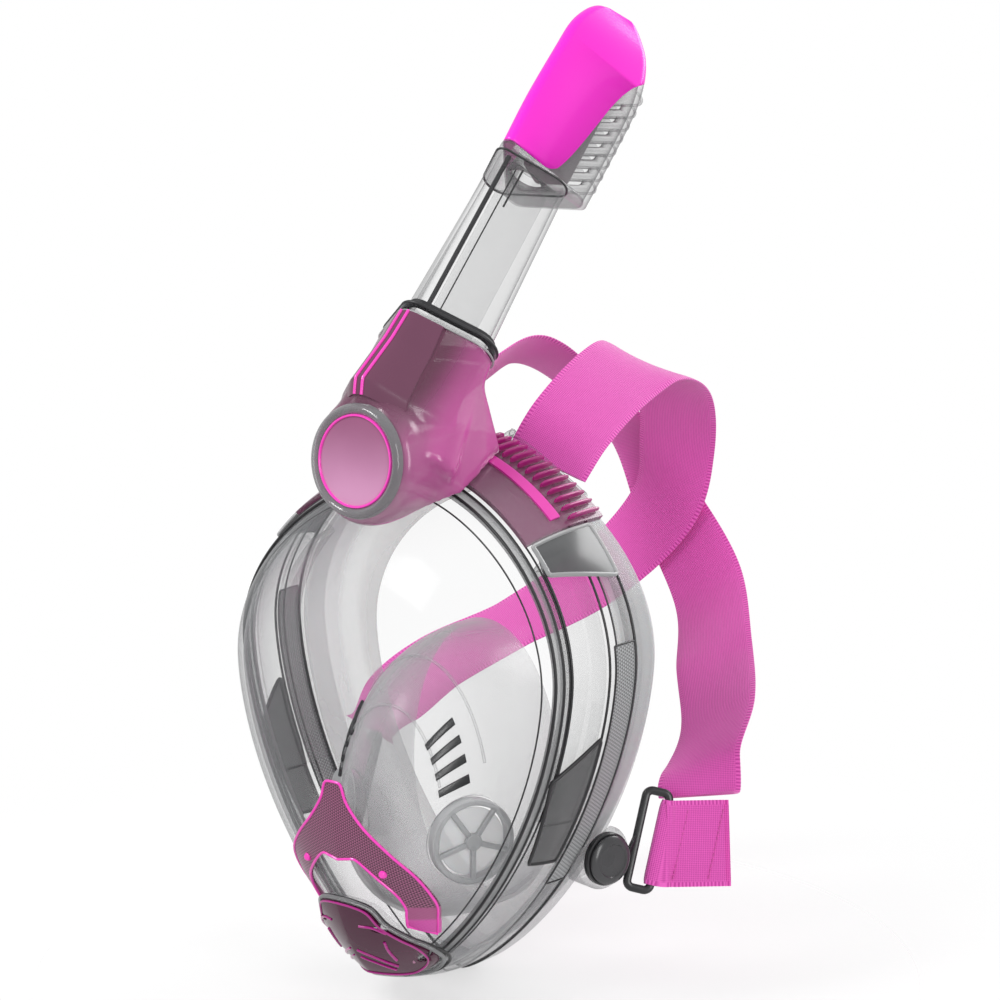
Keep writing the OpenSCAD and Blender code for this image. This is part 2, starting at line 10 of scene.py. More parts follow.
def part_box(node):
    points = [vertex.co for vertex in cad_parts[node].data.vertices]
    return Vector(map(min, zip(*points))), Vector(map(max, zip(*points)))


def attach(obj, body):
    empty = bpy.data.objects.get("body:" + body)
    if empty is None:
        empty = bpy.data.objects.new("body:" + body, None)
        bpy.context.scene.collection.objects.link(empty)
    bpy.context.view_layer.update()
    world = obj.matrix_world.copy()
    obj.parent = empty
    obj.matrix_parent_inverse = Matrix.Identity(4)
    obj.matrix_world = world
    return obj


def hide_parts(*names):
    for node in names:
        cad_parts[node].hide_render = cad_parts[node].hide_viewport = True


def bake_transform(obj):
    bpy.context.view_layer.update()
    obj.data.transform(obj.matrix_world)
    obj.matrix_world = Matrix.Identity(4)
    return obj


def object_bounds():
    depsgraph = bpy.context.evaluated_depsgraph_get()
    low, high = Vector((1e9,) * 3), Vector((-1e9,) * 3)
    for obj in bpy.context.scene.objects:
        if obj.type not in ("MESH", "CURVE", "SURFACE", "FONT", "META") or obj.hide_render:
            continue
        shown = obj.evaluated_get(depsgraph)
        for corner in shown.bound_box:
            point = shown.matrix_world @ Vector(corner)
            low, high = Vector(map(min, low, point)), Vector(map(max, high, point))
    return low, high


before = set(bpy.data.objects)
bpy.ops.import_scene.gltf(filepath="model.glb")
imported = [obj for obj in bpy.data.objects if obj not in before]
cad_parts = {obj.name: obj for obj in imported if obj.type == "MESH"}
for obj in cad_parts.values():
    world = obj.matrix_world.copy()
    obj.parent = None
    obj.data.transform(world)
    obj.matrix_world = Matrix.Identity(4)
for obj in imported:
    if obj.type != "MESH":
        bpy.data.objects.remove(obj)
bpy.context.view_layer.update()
MM = 0.001
scene = bpy.context.scene

# ---- driving sizes, from the frame
ring_low, ring_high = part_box("rear_frame_ring")
FRAME_T, VISOR_T, SHELL_H, POLE_Z, WIDE_Z = 2.2, 2.4, 120.0, 5.0, 35.0
HALF_W = ring_high.x / MM / 1.01
CROWN_Z = POLE_Z + (ring_high.z / MM - POLE_Z) / (1 + 1 / SHELL_H)
CHIN_Z = -(POLE_Z + (ring_low.z / MM - POLE_Z) / (1 + 1 / SHELL_H))
DEPTH = 105.0
POLE_F = 86.0
LEAN = math.radians(43.5)
TUBE_FOOT = np.array([0, -31.0, 174.0])
TUBE_W, RIDGE_Y, BACK_Y, RIDGE_R, CORNER_R = 54.0, -23.0, 10.0, 5.0, 8.0
TUBE_LEN, TUBE_IN, TUBE_T, TOP_W = 98.0, 38.0, 2.0, 46.0
SEAT_H, DROPTOP_H, VENT_Y = 5.0, 101.0, 26.0
WEB_W, WEB_T = 40.0, 1.8
BADGE_D = 50.0


# ---- the mask's surface, as in the CAD
def spow(v, e):
    return np.sign(v) * np.abs(v) ** e


def rim(p):
    a = np.radians(p)
    c, s = np.cos(a), np.sin(a)
    x = HALF_W * spow(c, np.where(s >= 0, 1.25, 1.5))
    up = WIDE_Z + (CROWN_Z - WIDE_Z) * s
    down = WIDE_Z - (WIDE_Z + CHIN_Z) * np.abs(s) ** 1.18
    return x, np.where(s >= 0, up, down)


def rim_in(p, t):
    """The rim inset by t, as a width and a height over the pole."""
    x, z = rim(p)
    return x * (1 - t / HALF_W), (z - POLE_Z) * (1 - t / SHELL_H)


def rim_f(p):
    return 25 + 2 * np.cos(np.radians(p)) ** 2


def shell_e(p):
    return 2 / (2.8 - 0.7 * np.clip(np.sin(np.radians(p)), 0, 1) ** 2)


def shell_at(p, f, t):
    p, f = np.asarray(p, float), np.radians(f)
    e = shell_e(p)
    r = np.cos(f) ** e
    x, z = rim_in(p, t)
    return np.stack(np.broadcast_arrays(x * r, -(DEPTH - t) * np.sin(f) ** e, POLE_Z + z * r), -1)


def skin(p, k, t=0.0):
    """A point of the mask: p degrees round it, k from its rear (0) by its rim (1) to its front (2)."""
    p, k = np.broadcast_arrays(np.asarray(p, float), np.asarray(k, float))
    f = np.where(k <= 1, k * rim_f(p), rim_f(p) + (POLE_F - rim_f(p)) * (k - 1))
    return shell_at(p, f, t)


RIM_P = np.linspace(-180, 180, 2881)
RIM_TURN = np.unwrap(np.arctan2(rim(RIM_P)[1] - POLE_Z, rim(RIM_P)[0]))


def on_visor(x, z, t=0.0):
    """The point of the mask's front at that width and height, inset by t."""
    x, z = np.broadcast_arrays(np.asarray(x, float), np.asarray(z, float))
    turn = np.arctan2(z - POLE_Z, x)
    turn = np.where(turn < RIM_TURN[0], turn + 2 * np.pi, turn)
    turn = np.where(turn > RIM_TURN[-1], turn - 2 * np.pi, turn)
    p = np.interp(turn.ravel(), RIM_TURN, RIM_P).reshape(turn.shape)
    r = np.clip(np.hypot(x, z - POLE_Z) / np.hypot(*rim_in(p, t)), 0, 0.9999)
    e = shell_e(p)
    f = np.arccos(r ** (1 / e))
    return np.stack([x, -(DEPTH - t) * np.sin(f) ** e, z], -1)


def ring_at(p, t, y):
    x, z = rim_in(p, t)
    return np.stack(np.broadcast_arrays(x, y, POLE_Z + z), -1)


# ---- mesh builders, points in millimetres
def link(name, data):
    obj = bpy.data.objects.new(name, data)
    scene.collection.objects.link(obj)
    return obj


def shade(mesh, angle=None):
    """Smooth shading, kept sharp where faces meet at more than angle degrees."""
    for polygon in mesh.polygons:
        polygon.use_smooth = True
    if angle is not None:
        mesh.set_sharp_from_angle(angle=math.radians(angle))


def add_mesh(name, verts, faces, smooth=30.0):
    mesh = bpy.data.meshes.new(name)
    mesh.from_pydata([tuple(v) for v in np.asarray(verts) * MM], [], [tuple(map(int, f)) for f in faces])
    mesh.validate()
    bm = bmesh.new()
    bm.from_mesh(mesh)
    bmesh.ops.recalc_face_normals(bm, faces=bm.faces)
    bm.to_mesh(mesh)
    bm.free()
    shade(mesh, smooth)
    return link(name, mesh)


def grid_faces(rows, cols, loop, start=0, flip=False):
    faces = []
    for j in range(rows - 1):
        for i in range(cols if loop else cols - 1):
            a, b = start + j * cols + i, start + j * cols + (i + 1) % cols
            quad = (a, b, b + cols, a + cols)
            faces.append(quad[::-1] if flip else quad)
    return faces


def wall(name, outer, inner, loop=False, cap=False, smooth=30.0):
    """A closed wall between two grids of points, rows by columns."""
    rows, cols = outer.shape[:2]
    total = rows * cols
    faces = grid_faces(rows, cols, loop) + grid_faces(rows, cols, loop, total, True)
    last = cols if loop else cols - 1
    for j in [0] if cap else [0, rows - 1]:
        for i in range(last):
            a, b = j * cols + i, j * cols + (i + 1) % cols
            faces.append((a, b, b + total, a + total))
    if cap:
        top = [(rows - 1) * cols + i for i in range(cols)]
        faces += [tuple(top), tuple(total + v for v in top)]
    if not loop:
        for i in (0, cols - 1):
            for j in range(rows - 1):
                a, b = j * cols + i, (j + 1) * cols + i
                faces.append((a, b, b + total, a + total))
    verts = np.concatenate([outer.reshape(-1, 3), inner.reshape(-1, 3)])
    return add_mesh(name, verts, faces, smooth)


def loft(name, rows, closed=False, smooth=30.0):
    """A solid through closed sections; closed joins the last to the first."""
    rows = np.asarray(rows)
    count, cols = rows.shape[:2]
    if closed:
        rows = np.concatenate([rows, rows[:1]])
        faces = grid_faces(count + 1, cols, True)
        faces = [tuple(v % (count * cols) for v in f) for f in faces]
        return add_mesh(name, rows[:-1].reshape(-1, 3), faces, smooth)
    faces = grid_faces(count, cols, True)
    faces += [tuple(range(cols)), tuple((count - 1) * cols + i for i in range(cols))]
    return add_mesh(name, rows.reshape(-1, 3), faces, smooth)


def patch(name, p0, p1, k0, k1, t0, t1, np_=40, nk=10):
    """A piece of the mask's wall, p0 to p1 degrees round it and k0 to k1 along it."""
    whole = p1 - p0 >= 360
    p = np.linspace(p0, p1, np_ + 1)[:-1] if whole else np.linspace(p0, p1, np_ + 1)
    share = np.linspace(0, 1, nk + 1)[:, None]
    k = np.full_like(p, k0) * (1 - share) + np.full_like(p, k1) * share
    return wall(name, skin(p, k, t0), skin(p, k, t1), whole, k1 == 2)


def quad_patch(name, corners, t0, t1, n=16):
    u, v = np.meshgrid(np.linspace(0, 1, n + 1), np.linspace(0, 1, n + 1))
    a, b, c, d = [np.array(q, float) for q in corners]
    q = (a * (1 - u[..., None]) + b * u[..., None]) * (1 - v[..., None]) \
        + (d * (1 - u[..., None]) + c * u[..., None]) * v[..., None]
    return wall(name, skin(q[..., 0], q[..., 1], t0), skin(q[..., 0], q[..., 1], t1))


def spline(points, steps, held=False):
    """Points along a smooth curve; held ends stand in for the points past them, as in the CAD."""
    q = np.asarray(points, float)
    ends = (q[:1], q[-1:]) if held else (2 * q[:1] - q[1:2], 2 * q[-1:] - q[-2:-1])
    q = np.concatenate([ends[0], q, ends[1]])
    out = []
    for i in range(1, len(q) - 2):
        a, b, c, d = q[i - 1:i + 3]
        for s in range(steps):
            u = s / steps
            out.append(0.5 * (2 * b + (c - a) * u + (2 * a - 5 * b + 4 * c - d) * u * u
                + (3 * b - a - 3 * c + d) * u ** 3))
    return np.array(out + [q[-2]])


def unit(v):
    return v / np.linalg.norm(v, axis=-1, keepdims=True)


def circle(sides):
    return np.linspace(0, 2 * np.pi, sides, endpoint=False)


def squircle(centre, wide, high, power, sides):
    """A rounded square section about a centre, spanned by two half widths."""
    turn = circle(sides)[:, None]
    return centre + spow(np.cos(turn), power) * wide + spow(np.sin(turn), power) * high


def tube_along(name, points, radius, sides=12, closed=False):
    """A round bead along points."""
    c = np.asarray(points, float)
    run = unit(np.roll(c, -1, 0) - np.roll(c, 1, 0)) if closed else unit(np.gradient(c, axis=0))
    side = np.array([0.31, 0.52, 0.79])
    turn = circle(sides)[:, None]
    rows = []
    for centre, d in zip(c, run):
        side = unit(side - d * (side @ d))
        rows.append(centre + radius * (np.cos(turn) * side + np.sin(turn) * np.cross(d, side)))
    return loft(name, rows, closed, 60)


def revolve(name, profile, sides=96, place=None, smooth=30.0):
    """A profile of [radius, height] points turned round Z, then placed."""
    profile = np.array(profile, float)
    turn = circle(sides)
    on_axis = profile[0][0] == 0 and profile[-1][0] == 0
    ring = profile[1:-1] if on_axis else profile
    rows = np.array([[(r * math.cos(a), r * math.sin(a), z) for a in turn] for r, z in ring])
    if on_axis:
        verts = np.concatenate([rows.reshape(-1, 3), [[0, 0, profile[0][1]], [0, 0, profile[-1][1]]]])
        faces = grid_faces(len(ring), sides, True)
        first, last = len(verts) - 2, len(verts) - 1
        for i in range(sides):
            j = (i + 1) % sides
            faces.append((first, j, i))
            faces.append((last, (len(ring) - 1) * sides + i, (len(ring) - 1) * sides + j))
        obj = add_mesh(name, verts, faces, smooth)
    else:
        obj = loft(name, rows, True, smooth)
    if place is not None:
        obj.data.transform(place)
    return obj


def box_mesh(name, low, high, place=None, bevel=0.6, segments=3):
    """A block with softened edges."""
    low, high = np.array(low, float), np.array(high, float)
    verts = [[(low, high)[a][0], (low, high)[b][1], (low, high)[c][2]]
        for a in (0, 1) for b in (0, 1) for c in (0, 1)]
    faces = [(0, 1, 3, 2), (4, 6, 7, 5), (0, 4, 5, 1), (2, 3, 7, 6), (0, 2, 6, 4), (1, 5, 7, 3)]
    obj = add_mesh(name, verts, faces, None)
    modify(obj, "BEVEL", width=bevel * MM, segments=segments, limit_method="ANGLE",
        angle_limit=math.radians(30), harden_normals=False)
    shade(obj.data, 45)
    if place is not None:
        obj.data.transform(place)
    return obj


def modify(obj, kind, **settings):
    """Applies a modifier to an object's mesh."""
    modifier = obj.modifiers.new("step", kind)
    for key, value in settings.items():
        setattr(modifier, key, value)
    bpy.context.view_layer.update()
    deps = bpy.context.evaluated_depsgraph_get()
    mesh = bpy.data.meshes.new_from_object(obj.evaluated_get(deps))
    obj.modifiers.clear()
    obj.data = mesh


def cut(obj, tool, operation="DIFFERENCE"):
    modify(obj, "BOOLEAN", operation=operation, solver="EXACT", object=tool)
    bpy.data.objects.remove(tool)


def join(objs, name):
    """One piece from several meshes."""
    bm = bmesh.new()
    for obj in objs:
        bm.from_mesh(obj.data)
    mesh = bpy.data.meshes.new(name)
    bm.to_mesh(mesh)
    bm.free()
    for obj in objs:
        bpy.data.objects.remove(obj)
    shade(mesh, 35)
    return link(name, mesh)


def mirrored(obj, name):
    mesh = obj.data.copy()
    mesh.transform(Matrix.Diagonal((-1, 1, 1, 1)))
    mesh.flip_normals()
    return link(name, mesh)


def snorkel_place():
    return Matrix.Translation(Vector(TUBE_FOOT) * MM) @ Matrix.Rotation(-LEAN, 4, "X")


def place_mm(pos, *turns):
    """A placement: a shift by pos, then turns as (axis, degrees), outermost first."""
    out = Matrix.Translation(Vector(pos) * MM)
    for axis, degrees in turns:
        out = out @ Matrix.Rotation(math.radians(degrees), 4, axis)
    return out


# ---- finishes
class Finish:
    """A material built of nodes."""

    def __init__(self, name, colour, rough, coat=0.0, sheen=0.0, spec=0.5, soft=0.0):
        self.mat = bpy.data.materials.new(name)
        self.mat.use_nodes = True
        self.tree = self.mat.node_tree
        self.tree.nodes.clear()
        self.out = self.tree.nodes.new("ShaderNodeOutputMaterial")
        self.body = self.tree.nodes.new("ShaderNodeBsdfPrincipled")
        values = {"Base Color": (*colour, 1), "Roughness": rough, "Coat Weight": coat, "Coat Roughness": 0.12,
            "Sheen Weight": sheen, "Specular IOR Level": spec, "Subsurface Weight": soft,
            "Subsurface Scale": 0.004}
        for key, value in values.items():
            self.body.inputs[key].default_value = value
        self.link(self.body.outputs[0], self.out.inputs[0])
        self.colour, self.rough = colour, rough

    def add(self, kind, **values):
        node = self.tree.nodes.new(kind)
        for key, value in values.items():
            setattr(node, key, value)
        return node

    def link(self, a, b):
        self.tree.links.new(a, b)

    def math(self, op, *values):
        node = self.add("ShaderNodeMath", operation=op)
        for i, value in enumerate(values):
            if hasattr(value, "is_linked"):
                self.link(value, node.inputs[i])
            else:
                node.inputs[i].default_value = value
        return node.outputs[0]

    def split(self, source):
        node = self.add("ShaderNodeSeparateXYZ")
        self.link(source, node.inputs[0])
        return node.outputs

    def place(self):
        return self.add("ShaderNodeTexCoord").outputs["Object"]

    def noise(self, scale, detail=3.0):
        node = self.add("ShaderNodeTexNoise")
        node.inputs["Scale"].default_value = scale
        node.inputs["Detail"].default_value = detail
        self.link(self.place(), node.inputs["Vector"])
        return node.outputs["Fac"]

    def remap(self, value, low, high, to_low, to_high, smooth=False):
        node = self.add("ShaderNodeMapRange", interpolation_type="SMOOTHSTEP" if smooth else "LINEAR")
        for i, v in enumerate((low, high, to_low, to_high)):
            node.inputs[i + 1].default_value = v
        self.link(value, node.inputs[0])
        return node.outputs[0]

    def mix(self, factor, first, second):
        node = self.add("ShaderNodeMix", data_type="RGBA")
        self.link(factor, node.inputs[0])
        for socket, value in ((node.inputs[6], first), (node.inputs[7], second)):
            if hasattr(value, "is_linked"):
                self.link(value, socket)
            else:
                socket.default_value = (*value, 1)
        return node.outputs[2]

    def vary(self, amount=0.08, scale=30.0, rough_by=0.05):
        """Soft mottling of colour and gloss, as moulded parts have."""
        n = self.noise(scale)
        low = tuple(v * (1 - amount) for v in self.colour)
        high = tuple(min(1, v * (1 + amount)) for v in self.colour)
        self.tint(self.mix(n, low, high))
        self.link(self.remap(n, 0.3, 0.7, self.rough - rough_by, self.rough + rough_by),
            self.body.inputs["Roughness"])
        return self

    def tint(self, output):
        self.link(output, self.body.inputs["Base Color"])

    def along(self, axis, start, end):
        """0 to 1 between two distances along an axis, in metres."""
        dot = self.add("ShaderNodeVectorMath", operation="DOT_PRODUCT")
        self.link(self.place(), dot.inputs[0])
        dot.inputs[1].default_value = axis
        return self.remap(dot.outputs["Value"], start, end, 0, 1, True)

    def bump(self, height, strength=0.3, distance=0.0002):
        node = self.add("ShaderNodeBump")
        node.inputs["Strength"].default_value = strength
        node.inputs["Distance"].default_value = distance
        self.link(height, node.inputs["Height"])
        self.link(node.outputs[0], self.body.inputs["Normal"])
        return self

    def grain(self, scale=1400.0, strength=0.15, distance=0.0001):
        return self.bump(self.noise(scale, 2), strength, distance)

    def dots(self, plane, period):
        """Height of a fine mesh of dots in a plane of two axes, 0 to 1."""
        split = self.split(self.place())
        a, b = (split[i] for i in plane)
        k = 2 * math.pi / period
        first = self.math("SINE", self.math("MULTIPLY", a, k))
        half = self.math("MULTIPLY", a, -k / 2)
        rise = self.math("MULTIPLY", b, k * 0.866)
        second = self.math("SINE", self.math("ADD", half, rise))
        third = self.math("SINE", self.math("SUBTRACT", half, rise))
        return self.remap(self.math("ADD", first, self.math("ADD", second, third)), -1.6, 2.2, 0, 1)

    def clear(self, face, edge, power=2.0):
        """Lets light through: face is how solid it looks head on, edge at a glance."""
        weight = self.add("ShaderNodeLayerWeight")
        weight.inputs["Blend"].default_value = 0.5
        slant = self.math("POWER", weight.outputs["Facing"], power)
        return self.show_by(self.remap(slant, 0, 1, face, edge))

    def show_by(self, solid):
        """Mixes the body with clear air, by how solid it is."""
        empty = self.add("ShaderNodeBsdfTransparent")
        mix = self.add("ShaderNodeMixShader")
        for i, output in enumerate((solid, empty.outputs[0], self.body.outputs[0])):
            self.link(output, mix.inputs[i])
        self.link(mix.outputs[0], self.out.inputs[0])
        return self


# by slot and name: colour; roughness, coat, sheen, specular and soft; mottling; grain; clearness
PLAIN = {
    "clear_lens": {
        "visor_clear": ((0.26, 0.27, 0.28), (0.06, 0.3), (0.05, 12, 0.02), (), (0.03, 0.9, 3.2)),
        "frame_clear": ((0.22, 0.225, 0.235), (0.1, 0.3), (0.08, 22, 0.03), (), (0.05, 0.95, 2.6)),
        "rear_ring_clear": ((0.26, 0.265, 0.275), (0.16,), (0.08, 30, 0.04), (), (0.12, 0.92, 2.2)),
        "bright_edge": ((0.5, 0.505, 0.51), (0.12, 0.6), (0.03, 40, 0.02), (), (0.55, 0.92)),
        "badge_rim": ((0.24, 0.24, 0.25), (0.1, 0.6), (0.06, 60, 0.03), (), (0.5, 0.95, 1.3)),
        "tube_clear": ((0.20, 0.205, 0.21), (0.08, 0.3), (0.05, 20, 0.02), (), (0.045, 0.95, 2.6)),
        "chamber_clear": ((0.20, 0.205, 0.21), (0.08, 0.3), (0.05, 25, 0.02), (), (0.10, 0.95, 2.0)),
    },
    "seal_rubber": {
        "rim_band": ((0.30, 0.305, 0.31), (0.35,), (0.1, 40), (900, 0.1), (0.42, 0.9, 1.4)),
        "seal_rubber": ((0.02, 0.02, 0.022), (0.42,), (0.2, 40), (1500, 0.2)),
        "moulded_line": ((0.03, 0.03, 0.032), (0.25,), (0.12, 60)),
    },
    "silicone": {
        "skirt_silicone": ((0.62, 0.63, 0.64), (0.55, 0, 0.1, 0.5, 0.1), (0.06, 26), (1200, 0.18),
            (0.2, 0.8, 1.6)),
        "cup_silicone": ((0.50, 0.505, 0.515), (0.3, 0.25), (0.08, 20), (1100, 0.12), (0.16, 0.92, 2.0)),
        "valve_silicone": ((0.74, 0.75, 0.76), (0.4, 0, 0, 0.5, 0.1), (0.05, 60), (1600, 0.15),
            (0.5, 0.85, 1.2)),
    },
    "grey_clear": {
        "smoke_window": ((0.06, 0.061, 0.064), (0.18, 0.4), (0.15, 30, 0.03), (), (0.66, 0.95, 1.5)),
        "block_grey": ((0.085, 0.087, 0.09), (0.2, 0.5), (0.2, 60, 0.04), (), (0.86, 0.97, 1.3)),
        "duct_clear": ((0.3, 0.305, 0.31), (0.25,), (0.08, 25), (), (0.05, 0.85, 2.4)),
        "valve_seat": ((0.5, 0.51, 0.52), (0.3,), (0.06, 60), (1500, 0.12), (0.62, 0.92, 1.2)),
        "float_grey": ((0.27, 0.245, 0.26), (0.5,), (0.1, 60), (900, 0.3)),
        "divider_grey": ((0.25, 0.255, 0.26), (0.3,), (0.08, 40), (), (0.05, 0.7, 2.2)),
    },
    "black_plastic": {
        "black_plastic": ((0.018, 0.018, 0.02), (0.33, 0.2), (0.2, 50, 0.06), (1300, 0.25)),
        "hub_plastic": ((0.045, 0.045, 0.048), (0.28, 0.3), (0.2, 60, 0.05), (1500, 0.15)),
    },
    "chin_magenta": {
        "mauve_panel": ((0.135, 0.040, 0.082), (0.26, 0.4, 0, 0.4), (0.1, 25), (1000, 0.08)),
        "chin_magenta": ((0.065, 0.004, 0.030), (0.2, 0.5, 0, 0.35), (0.2, 30, 0.04), (1200, 0.08)),
    },
    "pink_clear": {
        "hot_pink_line": ((0.94, 0.05, 0.52), (0.25, 0.4), (0.06, 60, 0.03)),
        "crown_mauve": ((0.22, 0.065, 0.14), (0.22, 0.5), (0.14, 24), (), (0.66, 0.97, 1.3)),
        "crown_rib": ((0.44, 0.008, 0.20), (0.2, 0.5), (0.2, 50), (), (0.75, 0.97)),
        "crown_strip": ((0.84, 0.05, 0.46), (0.3, 0.3), (0.08, 40), (), (0.82, 0.97)),
        "chin_pink_line": ((0.40, 0.005, 0.22), (0.2, 0.6), (0.12, 60, 0.03)),
        "chin_lug": ((0.42, 0.18, 0.30), (0.25, 0.4), (0.1, 60, 0.03)),
    },
    "cap_pink": {
        "cap_pink": ((1.0, 0.012, 0.64), (0.32, 0.15), (0.035, 14, 0.03), (1500, 0.07)),
    },
    "webbing": {
        "stitching": ((0.62, 0.06, 0.36), (0.6, 0, 0.3), (0.12, 400), (3000, 0.4)),
    },
}
LOOKS = {}
for _slot, _group in PLAIN.items():
    for _name, (_colour, _gloss, _mottling, *_rest) in _group.items():
        _f = Finish(_name, _colour, *_gloss).vary(*_mottling)
        if _rest and _rest[0]:
            _f.grain(*_rest[0])
        if len(_rest) > 1:
            _f.clear(*_rest[1])
        LOOKS[_name] = (_f.mat, _slot)


def mauve_shell():
    """The socket: pink flanks and a front darker at the top and paler at the foot, all seen through; the
    paler foot is a painted highlight.
    """
    f = Finish("mauve_shell", (0.30, 0.085, 0.19), 0.2, coat=0.6)
    n = f.noise(18, 2)
    at = f.split(f.place())
    flank = f.remap(f.math("ABSOLUTE", at[0]), 0.019, 0.036, 0, 1, True)
    # the mauve darkens towards the top as the moulding's own colour; the paler foot below is a painted
    # highlight
    up = f.remap(at[2], 0.128, 0.162, 0, 1, True)
    front = f.mix(up, f.mix(n, (0.38, 0.14, 0.26), (0.46, 0.19, 0.33)),
        f.mix(n, (0.12, 0.03, 0.068), (0.16, 0.042, 0.09)))
    f.tint(f.mix(flank, front, f.mix(n, (0.60, 0.09, 0.36), (0.70, 0.13, 0.44))))
    return f.grain(900, 0.06).clear(0.68, 0.98, 1.3).mat


def badge_mauve():
    """The badge's disc, darker towards its top."""
    f = Finish("badge_mauve", (0.5, 0.2, 0.38), 0.2, coat=0.6)
    n = f.noise(60, 2)
    f.tint(f.mix(f.along((0, 0, 1), 0.106, 0.149), f.mix(n, (0.60, 0.26, 0.46), (0.66, 0.31, 0.52)),
        f.mix(n, (0.25, 0.065, 0.155), (0.30, 0.085, 0.19))))
    return f.grain(1600, 0.08).mat


def trim_pink():
    """The nose trim: a fine mesh above, plain lower down, with pink tips."""
    f = Finish("trim_pink", (0.80, 0.16, 0.50), 0.34, coat=0.25)
    dots = f.dots((0, 2), 0.00115)
    low = f.along((0, 0, -1), 0.0725, 0.0735)
    tip = f.along((0, 0, -1), 0.079, 0.081)
    mesh = f.mix(dots, (0.05, 0.009, 0.028), (0.42, 0.13, 0.26))
    f.tint(f.mix(tip, f.mix(low, mesh, (0.40, 0.085, 0.235)), (0.66, 0.07, 0.40)))
    return f.bump(dots, 0.4, 0.0002).clear(0.92, 0.98, 1.4).mat


def side_mesh():
    f = Finish("side_mesh", (0.34, 0.345, 0.35), 0.4)
    dots = f.dots((1, 2), 0.0014)
    f.tint(f.mix(dots, (0.15, 0.152, 0.156), (0.62, 0.63, 0.64)))
    return f.bump(dots, 0.6, 0.0003).clear(0.62, 0.92, 1.3).mat


def pink_webbing():
    """Woven webbing: diagonal ribs of small yarn dots, with a plainer selvedge."""
    light, dark = (0.93, 0.135, 0.60), (0.60, 0.045, 0.36)
    f = Finish("pink_webbing", light, 0.62, sheen=0.35, spec=0.3)
    u, v, _ = f.split(f.add("ShaderNodeUVMap", uv_map="weave").outputs[0])
    k = 2 * math.pi / 1.7
    rib = f.math("SINE", f.math("MULTIPLY", f.math("ADD", u, v), k))
    yarn = f.math("SINE", f.math("MULTIPLY", f.math("SUBTRACT", u, v), k))
    weave = f.remap(f.math("MULTIPLY", rib, yarn), -1, 1, 0, 1)
    edge = f.remap(f.math("ABSOLUTE", u), WEB_W * 0.44, WEB_W * 0.455, 0, 1)
    plain = f.remap(f.math("SINE", f.math("MULTIPLY", v, k)), -1, 1, 0, 1)
    height = f.math("ADD", f.math("MULTIPLY", weave, f.math("SUBTRACT", 1, edge)),
        f.math("MULTIPLY", plain, edge))
    base = f.mix(f.noise(22, 2), tuple(c * 0.93 for c in light), light)
    f.tint(f.mix(f.remap(height, 0.05, 0.75, 0, 1), dark, base))
    return f.bump(height, 0.6, 0.0004).mat


for _make, _slot in ((mauve_shell, "pink_clear"), (badge_mauve, "pink_clear"), (trim_pink, "pink_clear"),
        (side_mesh, "grey_clear"), (pink_webbing, "webbing")):
    LOOKS[_make.__name__] = (_make(), _slot)


def paint(obj, look):
    obj.data.materials.clear()
    obj.data.materials.append(LOOKS[look][0])


def dress(obj, look, *nodes, body="mask", slot=None):
    """Finishes a piece: its look, the body it rides on and the CAD nodes it stands for."""
    paint(obj, look)
    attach(obj, body)
    if nodes:
        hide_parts(*nodes)


# ---- visor, frame and skirt
SEAL_K = 0.03
FRAME_K = 1 - SEAL_K
dress(patch("visor", 0, 360, 1 + SEAL_K, 2, 0, VISOR_T, 240, 44), "visor_clear", "visor_lens")
dress(patch("frame_wall", 0, 360, 0.12, FRAME_K, 0, FRAME_T, 240, 14), "frame_clear", "main_frame")
dress(patch("rear_ring", 0, 360, 0, 0.12, -1, FRAME_T + 3, 240, 3), "rear_ring_clear", "rear_frame_ring")
dress(patch("rim_band_outer", 0, 360, FRAME_K, 1 + SEAL_K, -0.8, VISOR_T + 0.8, 240, 3), "rim_band",
    "visor_rim_seal")


RIM_LINES = (("rim_bead_front", 1 + SEAL_K, -0.5, 0.75, "seal_rubber"),
    ("rim_bead_rear", FRAME_K - 0.005, -0.5, 0.75, "seal_rubber"),
    ("rim_line_inner", 1.10, 1.2, 0.4, "moulded_line"), ("rear_bead", 0.115, -0.2, 0.7, "moulded_line"),
    ("frame_line_a", 0.30, 0.4, 0.45, "moulded_line"), ("frame_line_b", 0.88, 0.4, 0.45, "moulded_line"))
for _name, _k, _t, _radius, _look in RIM_LINES:
    dress(tube_along(_name, skin(np.degrees(circle(240)), _k, _t), _radius, 10, True), _look)

SKIRT_IN = FRAME_T + 3.2


def skirt():
    """The face skirt: a sleeve inside the frame whose lip rolls inwards at the rear."""
    profile = spline([(-16, SKIRT_IN), (-6, SKIRT_IN), (4, SKIRT_IN + 0.1), (11, SKIRT_IN + 0.8),
        (16, SKIRT_IN + 5), (16.6, SKIRT_IN + 11), (15.2, SKIRT_IN + 20)], 5)
    count = len(profile)
    p = np.linspace(0, 360, 240, endpoint=False)
    outer, inner = [], []
    for i, (y, t) in enumerate(profile):
        outer.append(ring_at(p, t, y))
        inner.append(ring_at(p, t + 2.0 - i / (count - 1), y - 1.2 * max(0, i / count - 0.5)))
    return wall("skirt", np.array(outer), np.array(inner), True)


dress(skirt(), "skirt_silicone", "face_skirt")

# ---- crown
CROWN_P, CROWN_OUT = 41, 3.0
RIBS, RIB_P0, RIB_P1 = 13, 42, 76


def crown_half(side):
    p = np.linspace(CROWN_P, 88, 48)
    p = p if side > 0 else 180 - p
    k = np.linspace(0.0, 0.9, 14)[:, None]
    return wall("crown", skin(p, k, -CROWN_OUT), skin(p, k, -0.1))


